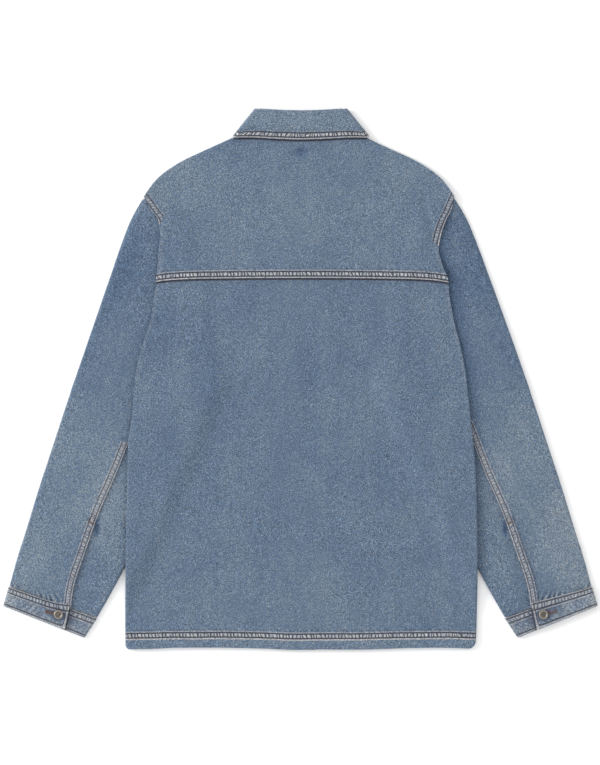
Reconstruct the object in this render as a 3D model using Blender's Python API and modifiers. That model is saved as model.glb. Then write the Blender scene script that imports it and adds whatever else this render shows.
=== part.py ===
# A denim jacket laid flat on its front, back up, sleeves down beside it and tucked under its sides.
# Run with: blender --background --python part.py
#
# Tables and sizes are in millimetres. In plan, x runs out from the jacket's centre line and y up
# from the hem's lower edge; z is height above the surface that the jacket lies on. Every panel's
# points are its outside face, and a Solidify wall goes inward from there.

import math
from collections import namedtuple

import bpy

MM = 0.001
LENGTH = 786.0  # collar's roll to the hem's lower edge
BUILT = "denim_jacket"

# Cloth
CLOTH = 1.4  # one ply of denim with what its felled seams add
HEM_WALL = 2.6  # the turned hem
CUFF_WALL = 2.2
COLLAR_WALL = 1.8
BAND_WALL = 2.2
STRIP_WALL = 1.2
GAP = 0.3  # between pieces at a seam
ARMHOLE_GAP = 1.2  # along the armhole, whose curve each piece follows with its own few points
FOLD_RADIUS = 3.2  # of the body's side folds, in plan

# Heights of the layers
SLEEVE_TOP = 6.0  # outside face of a sleeve's upper side
SEAM_RAISE = 0.7  # the sleeve's main panel where it laps the under panel
SEAM_SINK = 1.0  # the under panel there
BODY_TOP = 6.4  # back over front, on the surface
OVER_ONE = 8.6  # back over a sleeve alone
OVER_TWO = 12.6  # back over front over a sleeve
FRONT_LIFT = 7.3  # front over a sleeve
LEAF_LIFT = 2.2  # front over the collar's leaf
BAND_LIFT = 2.2  # front band over its buttons
CUFF_TOP = 8.4
CUFF_UNDER_TOP = 5.8  # the cuff's end under the lap
COLLAR_MIDDLE = 4.8  # half the height of the folded collar

# Seams
HEM_DEPTH = 27.0
HEM_REACH = 45.0  # over which the unevenness of its edge dies out above it
YOKE_SEAM = 540.5  # at the centre line
YOKE_DROOP = 2.4  # the seam falls this much towards the armholes
YOKE_END_DROOP = 3.6  # and this much more close to them
YOKE_HALF = 210.0
YOKE_LAP = 12.0
YOKE_LIFT = 1.95  # the yoke's face above the back's, where it laps over
SLEEVE_LAP = 9.0
SLEEVE_FRONT_SEAM = 30.0  # from the sleeve's inner fold, on the floor side
YOKE_FRONT = ((56.0, 719.6), 0.13)  # its front seam: at the neck, and how far along the armhole
BAND_HALF = 21.0
NECK_FRONT = 652.0
NEAR_BAND = 26.0  # reach over which the body rises beside the button band
LEAF_CLEAR = 5.2  # how much wider than the collar's leaf the hollow over it is
LEAF_FLAT = 8.0  # beside the leaf where the body is still raised, and the reach of its fall
LEAF_REACH = 22.0
COLLAR_ROLL = 2.15  # radius outside the roll
STAND_OUT = 2.3  # from the collar's middle to the stand
STAND_START = 4.8  # from the roll
SHOULDER_SQUEEZE = (7.5, 3.0)  # how far the yoke's front narrows at the sleeve's head
FRONT_BUTTON_RADIUS = 8.5
CUFF_BUTTON_RADIUS = 6.8
CUFF_BUTTON_TALL = 2.4
BUTTON_HEIGHTS = (636.0, 524.0, 412.0, 300.0, 188.0, 76.0)
RIGHT_IN_HIGH = 7.0  # the right shoulder lies this much closer in than the left
RIGHT_IN_LOW = 1.5  # and so does the right cuff

# Body: where the back's edge shows, on each side.
BodyEdge = namedtuple("BodyEdge", "y left right")
BODY_EDGES = [
    BodyEdge(0, 251, 246.5),
    BodyEdge(4, 254, 251),
    BodyEdge(9, 254.8, 253.6),
    BodyEdge(48, 255, 255),
    BodyEdge(133, 254, 256),
    BodyEdge(216, 252.5, 254.5),
    BodyEdge(261, 251.5, 253),
    BodyEdge(302, 250.5, 249.5),
    BodyEdge(323, 247, 247),
    BodyEdge(342, 244.5, 245),
    BodyEdge(368, 243, 242.5),
    BodyEdge(396, 240.5, 239.5),
    BodyEdge(431, 233.5, 233.5),
    BodyEdge(450, 228, 229),
    BodyEdge(468, 221.5, 224),
    BodyEdge(492, 216, 219),
    BodyEdge(519, 213, 215),
    BodyEdge(535, 210.5, 214),
    BodyEdge(560, 208, 205),
    BodyEdge(584, 206, 199.5),
    BodyEdge(600, 204.5, 202.5),
    BodyEdge(621, 206.3, 209.5),
    BodyEdge(638, 218.0, 218.0),
    BodyEdge(655, 228, 222.5),
]

# Hem's edge, uneven as it lies: its height at places across the jacket.
HemPoint = namedtuple("HemPoint", "x lift")
HEM = [
    HemPoint(-252, 0.9),
    HemPoint(-216, 1.7),
    HemPoint(-181, 3.2),
    HemPoint(-138, 3.5),
    HemPoint(-94, 3.0),
    HemPoint(-60, 2.3),
    HemPoint(-7, 0.2),
    HemPoint(28, 0.8),
    HemPoint(80, 0.5),
    HemPoint(115, 1.3),
    HemPoint(149, 2.6),
    HemPoint(202, 3.3),
    HemPoint(250, 1.9),
]

# Shoulder line: the fold where the yoke turns to the front, from the neck to the sleeve's head.
ShoulderPoint = namedtuple("ShoulderPoint", "x y")
SHOULDER = [
    ShoulderPoint(75, 752.5),
    ShoulderPoint(101.5, 741),
    ShoulderPoint(143.5, 722),
    ShoulderPoint(168, 710.5),
    ShoulderPoint(192.5, 695.5),
    ShoulderPoint(208.5, 682),
    ShoulderPoint(219.5, 668),
    ShoulderPoint(228, 655),
]

SHOULDER_START = 75
SHOULDER_END = 226.8

# Back of the neck, under the collar, from the side to the centre.
NECK_BACK = [(75, 752.5), (50, 748), (25, 745.5), (0, 745)]

# Sleeve: flat sections from the armhole to the cuff. Each runs from the outer fold to the inner
# fold; seam is the back seam's distance from the outer fold, bow bends the section inward, and
# swell is how far its upper side stands proud between the outer fold and the seam.
SleeveSection = namedtuple("SleeveSection", "outer_x outer_y inner_x inner_y seam bow swell")
SLEEVE = [
    SleeveSection(230.4, 653.2, 139, 384, 171, 35, 0.0),
    SleeveSection(247, 623.5, 141.5, 380.5, 162, 26, 0.0),
    SleeveSection(261.5, 586, 144.5, 375, 148, 18, 0.1),
    SleeveSection(276, 544, 148, 367.5, 133, 11, 0.3),
    SleeveSection(293, 494.5, 152.5, 357.5, 121, 6, 0.5),
    SleeveSection(308.5, 449.5, 158.5, 343, 112, 2, 0.7),
    SleeveSection(325.5, 400, 168.5, 317.5, 107, 0, 0.5),
    SleeveSection(343.5, 346.5, 185.5, 278.5, 103.5, 0, 0.8),
    SleeveSection(361, 293, 206, 230.5, 99.8, 0, 0.6),
    SleeveSection(380, 235, 228.5, 177, 94, 0, 0.8),
    SleeveSection(397.5, 178, 254, 123, 91.5, 0, 0.5),
    SleeveSection(412.5, 130.5, 278, 78, 90.5, 0, 0.7),
    SleeveSection(422.9, 92.3, 296.1, 46.7, 94, 0, 0.4),
]
PLACKET_FROM = 9.28  # section number where the sleeve's opening starts
PLACKET_WIDTH = 11.6

# Cuff: its two edges in plan, with where the lap's edge lies on each.
CuffEdge = namedtuple("CuffEdge", "outer_x outer_y inner_x inner_y lap")
CUFF = [
    CuffEdge(423.9, 91.8, 295.8, 45.6, 92.5),
    CuffEdge(432, 64.0, 314.3, 17.6, 96.0),
]
CUFF_UNDERLAP = 22.0
CUFF_BUTTON = (351.5, 51.5)

# Front: rows from the yoke's front seam down to the hem. inner is the centre's edge, or the neck's,
# and armhole, where it isn't None, is how far along the armhole the outer end lies.
FrontRow = namedtuple("FrontRow", "inner_x inner_y armhole outer_x outer_y")
FRONT = [
    FrontRow(55.6, 718.9, 0.13, 0, 0),
    FrontRow(48, 700, 0.27, 0, 0),
    FrontRow(38, 679, 0.42, 0, 0),
    FrontRow(21.3, 652, 0.58, 0, 0),
    FrontRow(21.3, 605, 0.72, 0, 0),
    FrontRow(21.3, 560, 0.83, 0, 0),
    FrontRow(21.3, 520, 0.92, 0, 0),
    FrontRow(21.3, 490, 0.975, 0, 0),
    FrontRow(21.3, 468, None, 150, 381),
    FrontRow(21.3, 446, None, 178, 371),
    FrontRow(21.3, 422, None, 210, 359),
    FrontRow(21.3, 396, None, 242, 347),
    FrontRow(21.3, 355, None, 247, 323),
    FrontRow(21.3, 310, None, 250, 300),
    FrontRow(21.3, 258, None, 0, 255),
    FrontRow(21.3, 205, None, 0, 205),
    FrontRow(21.3, 155, None, 0, 155),
    FrontRow(21.3, 120, None, 0, 120),
    FrontRow(21.3, 85, None, 0, 85),
    FrontRow(21.3, 55, None, 0, 55),
    FrontRow(21.3, 31, None, 0, 31),
    FrontRow(21.3, 27, None, 0, 27),
    FrontRow(21.3, 9, None, 0, 9),
    FrontRow(21.3, 4, None, 0, 4),
    FrontRow(21.3, 0, None, 0, 0),
]

# Collar: stations from the centre front, round the side of the neck, to the centre back. roll is
# its fold, neck the stand's seam, edge the leaf's free edge, and turn how far the band has gone
# round from the floor side (0) to the top (180).
CollarStation = namedtuple("CollarStation", "roll_x roll_y neck_x neck_y edge_x edge_y turn")
COLLAR = [
    CollarStation(3, 682, 3, 653.5, 50, 622, 0),
    CollarStation(20, 697, 24, 668, 64, 650, 0),
    CollarStation(37, 722, 43, 699, 77, 683, 0),
    CollarStation(51.5, 753, 59.5, 728, 89, 713, 0),
    CollarStation(63.4, 782.6, 73, 754.6, 95.2, 742.8, 0),
    CollarStation(63.4, 782.6, 73, 754.6, 95.2, 742.8, 45),
    CollarStation(63.4, 782.6, 73, 754.6, 95.2, 742.8, 90),
    CollarStation(63.4, 782.6, 73, 754.6, 95.2, 742.8, 135),
    CollarStation(63.4, 782.6, 73, 754.6, 95.2, 742.8, 180),
    CollarStation(58.5, 785.2, 66.5, 753.2, 85, 743.2, 180),
    CollarStation(45, 784.2, 50, 749.8, 66, 743, 180),
    CollarStation(22, 783, 25, 747, 33, 741, 180),
    CollarStation(0, 782.7, 0, 746.5, 0, 740, 180),
]
COLLAR_SIDE = (0.786, 0.618)  # outward across the side fold, in plan

# Soft folds of the back, as troughs (negative) or swells from one place to another.
Fold = namedtuple("Fold", "x1 y1 x2 y2 half_width height")
FOLDS = [
    Fold(176, 655, 197, 588, 9, -0.9),
    Fold(-205, 330, -120, 250, 24, -0.5),
    Fold(205, 330, 130, 262, 26, -0.6),
    Fold(-150, 505, -140, 320, 26, -0.4),
    Fold(14, 470, 10, 250, 22, -0.5),
    Fold(110, 500, 130, 380, 26, 0.3),
    Fold(-60, 180, 120, 150, 30, -0.4),
]


def smooth(t):
    """0 before 0, 1 after 1, and a soft step between."""
    t = min(max(t, 0.0), 1.0)
    return t * t * (3 - 2 * t)


def mix(a, b, t):
    return a + (b - a) * t


def spread(start, end, count):
    """count + 1 even steps from start to end."""
    return [mix(start, end, i / count) for i in range(count + 1)]


def read(rows, known, wanted, value):
    """The wanted column at a value of the known column, straight between rows."""
    rows = sorted(rows, key=lambda row: getattr(row, known))
    for low, high in zip(rows, rows[1:]):
        if value <= getattr(high, known):
            break
    span = getattr(high, known) - getattr(low, known)
    t = min(max((value - getattr(low, known)) / span, 0.0), 1.0)
    return mix(getattr(low, wanted), getattr(high, wanted), t)


def curve_row(rows, at):
    """The table's row at a fractional row number, on a smooth curve through all rows."""
    first = min(int(at), len(rows) - 2)
    t = at - first
    before, start = rows[max(first - 1, 0)], rows[first]
    end, after = rows[first + 1], rows[min(first + 2, len(rows) - 1)]
    values = []
    for a, b, c, d in zip(before, start, end, after):
        bend = (2 * a - 5 * b + 4 * c - d) * t + (3 * b - a - 3 * c + d) * t * t
        values.append(b + 0.5 * t * (c - a + bend))
    return type(start)(*values)


def section_length(section):
    return math.hypot(section.outer_x - section.inner_x, section.outer_y - section.inner_y)


def on_section(section, along):
    """Plan point of a sleeve's section, a fraction of the way from its outer to its inner fold."""
    length = section_length(section)
    across_x = (section.outer_y - section.inner_y) / length
    across_y = (section.outer_x - section.inner_x) / length
    inside = min(max(along, 0.0), 1.0)
    bow = section.bow * math.sin(math.pi * math.sqrt(inside))
    x = mix(section.outer_x, section.inner_x, along) - across_x * bow
    y = mix(section.outer_y, section.inner_y, along) + across_y * bow
    return x, y


def armhole_point(along, hand):
    """Plan point, for either side, where what is sewn to the sleeve's end stops beside it."""
    x, y = on_section(SLEEVE[0], along)
    shift = right_in(y) * (1 - along) if hand > 0 else 0.0
    return x - shift - ARMHOLE_GAP, y


def sleeve_edge_x(y):
    """How far out the sleeve starts at a height: at its inner fold, or at the armhole above it."""
    if y < SLEEVE[0].inner_y:
        return read(SLEEVE, "inner_y", "inner_x", y)
    armhole = [ShoulderPoint(*on_section(SLEEVE[0], f)) for f in spread(0.0, 1.0, 20)]
    return read(armhole, "y", "x", y)


def over_sleeve(x, y, reach=30.0, clear=7.0):
    """1 over the sleeve and just beside it, falling to 0 over the reach."""
    beside = 0.9 * (sleeve_edge_x(y) - abs(x))
    return smooth(1 - (beside - clear) / reach)


def over_leaf(x, y):
    """1 over the collar's front leaf and just beside it, falling to 0 around it."""
    corners = [
        (COLLAR[0].roll_x, COLLAR[0].roll_y),
        (COLLAR[0].edge_x, COLLAR[0].edge_y),
        (COLLAR[4].edge_x + LEAF_CLEAR, COLLAR[4].edge_y),
        (COLLAR[4].roll_x + LEAF_CLEAR, COLLAR[4].roll_y),
    ]
    outside = -1e9
    for (ax, ay), (bx, by) in zip(corners, corners[1:] + corners[:1]):
        side = math.hypot(bx - ax, by - ay)
        distance = ((by - ay) * (abs(x) - ax) - (bx - ax) * (y - ay)) / side
        outside = max(outside, distance)
    return smooth(1 - (outside - LEAF_FLAT) / LEAF_REACH)


def near_band(x):
    return smooth(1 - (abs(x) - BAND_HALF - 2) / NEAR_BAND)


def front_height(x, y):
    """Outside face of the front, which is the floor side: 0, or over what lies under it."""
    above_armhole = 1 - smooth((y - SLEEVE[0].inner_y - 8) / 45)
    sleeve = FRONT_LIFT * over_sleeve(x, y) * above_armhole
    leaf = LEAF_LIFT * over_leaf(x, y)
    band = BAND_LIFT * near_band(x) * (1 - smooth((y - NECK_FRONT) / 20))
    return max(sleeve, leaf, band)


def fold_height(x, y):
    total = 0.0
    for fold in FOLDS:
        run_x, run_y = fold.x2 - fold.x1, fold.y2 - fold.y1
        t = ((x - fold.x1) * run_x + (y - fold.y1) * run_y) / (run_x**2 + run_y**2)
        inside = min(max(t, 0.0), 1.0)
        away = math.hypot(x - fold.x1 - inside * run_x, y - fold.y1 - inside * run_y)
        total += fold.height * smooth(1 - away / fold.half_width)
    return total


def hem_lift(x):
    return read(HEM, "x", "lift", x)


def back_height(x, y):
    """Outside face of the back: over the front, over a sleeve, or over both."""
    lap_line = mix(SLEEVE[0].inner_y, 345, (abs(x) - 139) / 104)
    both = smooth((lap_line + 43 - y) / 60)
    over = over_sleeve(x, y, reach=mix(26.0, 34.0, both), clear=mix(4.0, 9.0, both))
    hem = 0.8 * (1 - smooth((y - HEM_DEPTH - hem_lift(x)) / 4))
    centre = 0.3 * near_band(x)
    return mix(BODY_TOP + centre, mix(OVER_ONE, OVER_TWO, both), over) + hem + fold_height(x, y)


def yoke_seam_y(x):
    out = x / YOKE_HALF
    return YOKE_SEAM - YOKE_DROOP * out**2 - YOKE_END_DROOP * out**10


def right_in(y):
    """How much closer in the right shoulder or sleeve lies at a height than the left."""
    return mix(RIGHT_IN_LOW, RIGHT_IN_HIGH, smooth((y - 400) / 330))


def side_shift(x, y):
    """The right shoulder's place beside the left's mirror image."""
    return -right_in(y) * smooth((x - 75) / 45) if x > 0 else 0.0


def waved(x, y):
    """A height near the hem, whose edge waves a little as it lies."""
    return y + hem_lift(x) * (1 - smooth((y - HEM_DEPTH) / HEM_REACH))


def side_turned(y):
    """1 where back and front meet in a side fold, 0 above the underarm, where the edges lie flat."""
    return smooth((352 - y) / 52)


def side_opening(y):
    """Half the gap at the side seam, which opens towards the underarm."""
    return 0.5 * GAP + 0.8 * smooth((y - 270) / 30)


def side_turn(x, y, hand, face, seam, turned):
    """Points from a face round the half of a side fold that ends at the seam's height.

    With turned at 0 there is no fold, and the points run flat to the edge instead.
    """
    upright = 0.9 if seam < face else -0.9
    points = []
    for angle in (0, 30, 60, 90):
        out, down = math.sin(math.radians(angle)), 1 - math.cos(math.radians(angle))
        reach = (FOLD_RADIUS - 1.0 + turned) * out
        points.append((x + hand * reach, y, face - turned * down * (face - seam - upright)))
    points.append((x + hand * FOLD_RADIUS, y, mix(face, seam, turned)))
    return points


def make_material(name, colour, roughness, metallic=0.0):
    material = bpy.data.materials.new(name)
    material.use_nodes = True
    shader = material.node_tree.nodes["Principled BSDF"]
    shader.inputs["Base Color"].default_value = (*colour, 1.0)
    shader.inputs["Roughness"].default_value = roughness
    shader.inputs["Metallic"].default_value = metallic
    material.diffuse_color = (*colour, 1.0)
    return material


def place(obj, material):
    obj.data.materials.append(material)
    for polygon in obj.data.polygons:
        polygon.use_smooth = True
    bpy.data.collections[BUILT].objects.link(obj)
    return obj


def sheet(name, grid, wall, material, outward=1, plies=None, keep=None):
    """A cloth wall from a grid of outside points. plies gives each point's share of the wall."""
    columns = len(grid[0])
    points = [(x * MM, (y - LENGTH / 2) * MM, z * MM) for row in grid for x, y, z in row]
    faces = []
    for r in range(len(grid) - 1):
        for c in range(columns - 1):
            if keep and not keep(r, c):
                continue
            first = r * columns + c
            face = (first, first + 1, first + columns + 1, first + columns)
            faces.append(face if outward > 0 else face[::-1])
    used = sorted({corner for face in faces for corner in face})
    index = {old: new for new, old in enumerate(used)}
    mesh = bpy.data.meshes.new(name)
    mesh.from_pydata(
        [points[old] for old in used], [], [[index[corner] for corner in face] for face in faces]
    )
    obj = place(bpy.data.objects.new(name, mesh), material)
    solidify = obj.modifiers.new("Cloth", "SOLIDIFY")
    solidify.thickness = wall * MM
    solidify.offset = -1.0
    if plies:
        shares = [share for row in plies for share in row]
        group = obj.vertex_groups.new(name="plies")
        for new, old in enumerate(used):
            group.add([new], 1.0 if shares[old] > 0.5 else 0.0, "REPLACE")
        solidify.vertex_group = group.name
        solidify.thickness_vertex_group = CLOTH / wall
    return obj


def back_row(y, y_at=None):
    """Outside points of the back at a height, with its edges turned down where it has side folds."""
    left, right = read(BODY_EDGES, "y", "left", y), read(BODY_EDGES, "y", "right", y)
    turned = side_turned(y)
    row = []
    places = spread(-left + FOLD_RADIUS, right - FOLD_RADIUS, 20)
    for x in places:
        height = y_at(x) if y_at else y
        top = back_height(x, height)
        seam = 0.5 * (top + front_height(x, height)) + side_opening(height)
        if x == places[0]:
            row += side_turn(x, height, -1, top, seam, turned)[::-1]
        elif x == places[-1]:
            row += side_turn(x, height, 1, top, seam, turned)
        else:
            row.append((x, height, top))
    return row


def make_back_panel(material):
    heights = [0, 4, 9, 18, HEM_DEPTH, HEM_DEPTH + 4, 55, 85, 120, 155, 190, 230, 265, 300, 323]
    heights += [347, 366, 384, 402, 422, 444, 468, 500]
    grid = [back_row(y, lambda x, y=y: waved(x, y)) for y in heights]
    plies = [[1 if y <= HEM_DEPTH else 0] * len(row) for y, row in zip(heights, grid)]
    for lift in (0.0, YOKE_LAP):
        grid.append(back_row(YOKE_SEAM - 3 + lift, lambda x, lift=lift: yoke_seam_y(x) + lift))
        plies.append([0] * len(grid[-1]))
    return sheet("back_panel", grid, HEM_WALL, material, plies=plies)


def shoulder_point(x):
    return read(SHOULDER, "x", "y", abs(x))


def make_yoke(material):
    """Columns run from the back seam up to the neck, or over the shoulder's fold to the front."""
    shoulder_columns = [SHOULDER_END, 217, 205, 189, 168, 145, 121, 98, SHOULDER_START]
    neck_columns = [50, 25, 0]
    tops = [-x for x in shoulder_columns + neck_columns] + [25, 50] + shoulder_columns[::-1]
    side = len(shoulder_columns) - 1
    last = len(tops) - 1
    levels = [0.0, 0.07, 0.14, 0.28, 0.42, 0.56, 0.7, 0.82, 0.92, 1.0]
    seam_y = YOKE_SEAM - YOKE_DROOP - YOKE_END_DROOP
    columns = []
    for i, top_x in enumerate(tops):
        hand = -1 if top_x < 0 else 1
        on_shoulder = i <= side or i >= last - side
        if on_shoulder:
            top_y = shoulder_point(top_x)
        else:
            top_y = read([ShoulderPoint(*p) for p in NECK_BACK], "x", "y", abs(top_x))
        top_x += side_shift(top_x, top_y)
        column_name = "left" if hand < 0 else "right"
        share = abs(tops[i]) / SHOULDER_END
        column = []
        for level in levels:
            edge_y = mix(seam_y, 655, level)
            edge = read(BODY_EDGES, "y", column_name, edge_y)
            start_x = hand * share * read(BODY_EDGES, "y", column_name, seam_y)
            x = mix(start_x, top_x, level)
            y = mix(yoke_seam_y(start_x) - 1.0, top_y, level)
            straight = mix(abs(start_x), abs(top_x), level) / max(share, 1e-6)
            x += hand * (edge - straight) * share**3 if share > 0 else 0.0
            lap = YOKE_LIFT * (1 - smooth((y - yoke_seam_y(x) - YOKE_LAP - 3) / 24))
            column.append((x, y, back_height(x, y) + lap))
        if on_shoulder:
            column += shoulder_turn(*column[-1], hand, abs(tops[i]))
        else:
            column += [column[-1]] * 8
        columns.append(column)
    grid = [[column[r] for column in columns] for r in range(len(columns[0]))]
    back_rows = len(levels) - 1

    def keep(r, c):
        return r < back_rows or c < side or c >= last - side

    return sheet("back_yoke", grid, CLOTH, material, keep=keep)


def shoulder_turn(x, y, top, hand, place_out):
    """Points round the shoulder's fold and down the front, from the back's edge at the fold."""
    down_x, down_y = -0.5 * hand, -0.866
    bottom = front_height(x, y - 6)
    radius = 0.5 * (top - bottom)
    middle = bottom + radius
    points = []
    for angle in (30, 60, 90, 120, 150):
        a = math.radians(angle)
        out = 0.8 * math.sin(a)
        points.append((x - down_x * out, y - down_y * out, middle + radius * math.cos(a)))
    squeeze = smooth((abs(x) - 195) / 30)
    inner_x, inner_y = YOKE_FRONT[0]
    outer_x, outer_y = armhole_point(YOKE_FRONT[1], hand)
    share = (place_out - SHOULDER_START) / (SHOULDER_END - SHOULDER_START)
    in_x, in_y = SHOULDER_SQUEEZE
    near = (x + down_x * 6 - hand * in_x * squeeze, y + down_y * 6 + in_y * squeeze)
    far = (hand * mix(inner_x, outer_x, share), mix(inner_y, outer_y, share))
    for t in (0.0, 0.5, 1.0):
        px, py = mix(near[0], far[0], t), mix(near[1], far[1], t)
        points.append((px, py, front_height(px, py)))
    return points


def make_front(hand, material):
    name = "front_left" if hand < 0 else "front_right"
    column_name = "left" if hand < 0 else "right"
    grid, plies = [], []
    for row in FRONT:
        if row.armhole is not None:
            outer_x, outer_y = armhole_point(row.armhole, hand)
            outer_y -= GAP if row is FRONT[0] else 0.0
        else:
            outer_y = row.outer_y
            outer_x = row.outer_x or read(BODY_EDGES, "y", column_name, outer_y)
        turned = side_turned(outer_y)
        points = []
        for t in spread(0.0, 1.0, 10):
            x = hand * mix(row.inner_x, outer_x - FOLD_RADIUS, t)
            y = mix(row.inner_y, outer_y, t)
            y = waved(x, y)
            points.append((x, y, front_height(x, y)))
        x, y, low = points.pop()
        seam = 0.5 * (back_height(x, y) + low) - side_opening(y)
        grid.append(points + side_turn(x, y, hand, low, seam, turned))
        plies.append([1 if row.inner_y <= HEM_DEPTH else 0] * len(grid[-1]))
    return sheet(name, grid, HEM_WALL, material, outward=hand, plies=plies)


def make_front_band(material):
    heights = spread(0.0, NECK_FRONT - GAP, 12)
    places = spread(-BAND_HALF, BAND_HALF, 2)
    grid = [[(x, y, BAND_LIFT) for x in places] for y in heights]
    return sheet("front_band", grid, BAND_WALL, material, outward=-1)


def sleeve_top(along, section):
    """Height of the main panel's upper side, which rises where it laps the under panel."""
    swell = section.swell * math.sin(math.pi * min(max(along / section.seam, 0.0), 1.0))
    return SLEEVE_TOP + swell + SEAM_RAISE * smooth((along - section.seam + 24) / 16)


def section_points(section, hand, run):
    """Space points of (distance from the outer fold, height) pairs on a flat section."""
    length = section_length(section)
    points = []
    for along, z in run:
        x, y = on_section(section, along / length)
        if hand > 0:
            x -= right_in(y) * (1 - along / length)
        points.append((hand * x, y, z))
    return points


def outer_turn(radius, steps=4):
    """(distance, height) pairs down round the outer fold, without its ends."""
    pairs = []
    for i in range(1, steps):
        a = math.pi * i / steps
        pairs.append((radius - radius * math.sin(a), radius + radius * math.cos(a)))
    return pairs


def sleeve_sections():
    steps = [0, 0.5, 1, 1.5, 2, 2.5, 3, 3.5, 4, 4.5, 5, 5.6, 6.2, 6.8, 7.4, 8, 8.6, 9.2, 9.8, 10.4]
    steps += [11, 11.5, 11.97]
    return [curve_row(SLEEVE, at) for at in steps]


def make_sleeve_main(hand, material):
    grid = []
    radius = SLEEVE_TOP / 2
    for section in sleeve_sections():
        length = section_length(section)
        stops = [section.seam, section.seam - 11] + spread(section.seam - 26, radius, 5)
        run = [(a, sleeve_top(a, section)) for a in stops]
        run += outer_turn(radius)
        run += [(a, 0.0) for a in spread(radius, length - SLEEVE_FRONT_SEAM, 4)]
        grid.append(section_points(section, hand, run))
    name = "sleeve_left_main" if hand < 0 else "sleeve_right_main"
    return sheet(name, grid, CLOTH, material, outward=-hand)


def make_sleeve_under(hand, material):
    grid = []
    for section in sleeve_sections():
        length = section_length(section)
        stops = [section.seam - SLEEVE_LAP, section.seam + 1, section.seam + 12]
        run = []
        for a in stops + spread(section.seam + 23, length - SLEEVE_TOP / 2, 2):
            run.append((a, SLEEVE_TOP - SEAM_SINK * (1 - smooth((a - section.seam - 1) / 21))))
        radius = 0.5 * run[-1][1]
        run[-1] = (length - radius, run[-1][1])
        run += [(length - a, z) for a, z in outer_turn(radius)]
        run += [(length - a, 0.0) for a in spread(radius, SLEEVE_FRONT_SEAM - GAP, 1)]
        grid.append(section_points(section, hand, run))
    name = "sleeve_left_under" if hand < 0 else "sleeve_right_under"
    return sheet(name, grid, CLOTH, material, outward=hand)


def make_placket(hand, material):
    grid = []
    for at in spread(PLACKET_FROM, 11.9, 6):
        section = curve_row(SLEEVE, at)
        run = []
        for a in spread(section.seam, section.seam - PLACKET_WIDTH, 2):
            run.append((a, sleeve_top(a, section) + GAP + STRIP_WALL))
        grid.append(section_points(section, hand, run))
    name = "placket_left" if hand < 0 else "placket_right"
    return sheet(name, grid, STRIP_WALL, material, outward=-hand)


def make_cuff(hand, material):
    """A band that starts at the lap's edge, goes round the sleeve and ends under the lap."""
    grid = []
    for t in spread(0.0, 1.0, 3):
        edge = CuffEdge(*[mix(a, b, t) for a, b in zip(*CUFF)])
        section = SleeveSection(edge.outer_x, edge.outer_y, edge.inner_x, edge.inner_y, 0, 0, 0)
        length = section_length(section)
        outer, inner = CUFF_TOP / 2, CUFF_UNDER_TOP / 2
        run = [(a, CUFF_TOP) for a in spread(edge.lap, outer, 5)]
        run += outer_turn(outer)
        run += [(a, 0.0) for a in spread(outer, length - inner, 5)]
        run += [(length - a, CUFF_UNDER_TOP - z) for a, z in outer_turn(inner)]
        run += [(a, CUFF_UNDER_TOP) for a in spread(length - inner, edge.lap - CUFF_UNDERLAP, 3)]
        grid.append(section_points(section, hand, run))
    name = "cuff_left" if hand < 0 else "cuff_right"
    return sheet(name, grid, CUFF_WALL, material, outward=-hand)


def collar_stations():
    """(hand, station) pairs all round, from one front end to the other."""
    stations = [(1, row) for row in COLLAR]
    for row in COLLAR[-2::-1]:
        other = row._replace(roll_x=-row.roll_x, neck_x=-row.neck_x, edge_x=-row.edge_x)
        stations.append((-1, other))
    return stations


def collar_point(hand, row, end_x, end_y, along, height):
    """A point that far from the roll towards the end, at a height out from the collar's middle."""
    reach = math.hypot(end_x - row.roll_x, end_y - row.roll_y)
    turn = math.radians(row.turn)
    out = height * math.sin(turn)
    x = row.roll_x + (end_x - row.roll_x) / reach * along + hand * COLLAR_SIDE[0] * out
    y = row.roll_y + (end_y - row.roll_y) / reach * along + COLLAR_SIDE[1] * out
    return x, y, COLLAR_MIDDLE - height * math.cos(turn)


def make_collar_leaf(material):
    roll, face = COLLAR_ROLL, COLLAR_MIDDLE
    grid = []
    for hand, row in collar_stations():
        reach = math.hypot(row.edge_x - row.roll_x, row.edge_y - row.roll_y)
        run = [(a, face) for a in spread(reach, roll, 4)]
        for i in range(1, 5):
            a = math.pi * i / 4
            run.append((roll - roll * math.sin(a), face - roll + roll * math.cos(a)))
        grid.append([collar_point(hand, row, row.edge_x, row.edge_y, *pair) for pair in run])
    return sheet("collar_leaf", grid, COLLAR_WALL, material, outward=1)


def make_collar_stand(material):
    grid = []
    for hand, row in collar_stations():
        reach = math.hypot(row.neck_x - row.roll_x, row.neck_y - row.roll_y)
        grid.append(
            [
                collar_point(hand, row, row.neck_x, row.neck_y, along, STAND_OUT)
                for along in spread(STAND_START, reach, 3)
            ]
        )
    return sheet("collar_stand", grid, COLLAR_WALL, material, outward=-1)


def make_button(name, x, y, base, facing, radius, tall, material, sides):
    """A turned shank button: a stem, and a head with a soft rim and a shallow dish."""
    outline = [
        (0.0, tall),
        (0.62, tall),
        (0.74, tall + 0.3),
        (0.9, tall + 0.25),
        (1.0, tall - 0.35),
        (0.92, 0.45),
        (0.4, 0.4),
        (0.36, 0.0),
        (0.0, 0.0),
    ]
    mesh = bpy.data.meshes.new(name)
    points = [(across * radius * MM, 0.0, up * MM) for across, up in outline]
    mesh.from_pydata(points, [(i, i + 1) for i in range(len(points) - 1)], [])
    obj = place(bpy.data.objects.new(name, mesh), material)
    obj.location = (x * MM, (y - LENGTH / 2) * MM, base * MM)
    obj.rotation_euler = (0.0 if facing > 0 else math.pi, 0.0, 0.0)
    turn = obj.modifiers.new("Turn", "SCREW")
    turn.steps = turn.render_steps = sides
    turn.use_merge_vertices = True
    turn.merge_threshold = 0.00002
    turn.use_smooth_shade = True
    return obj


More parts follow.
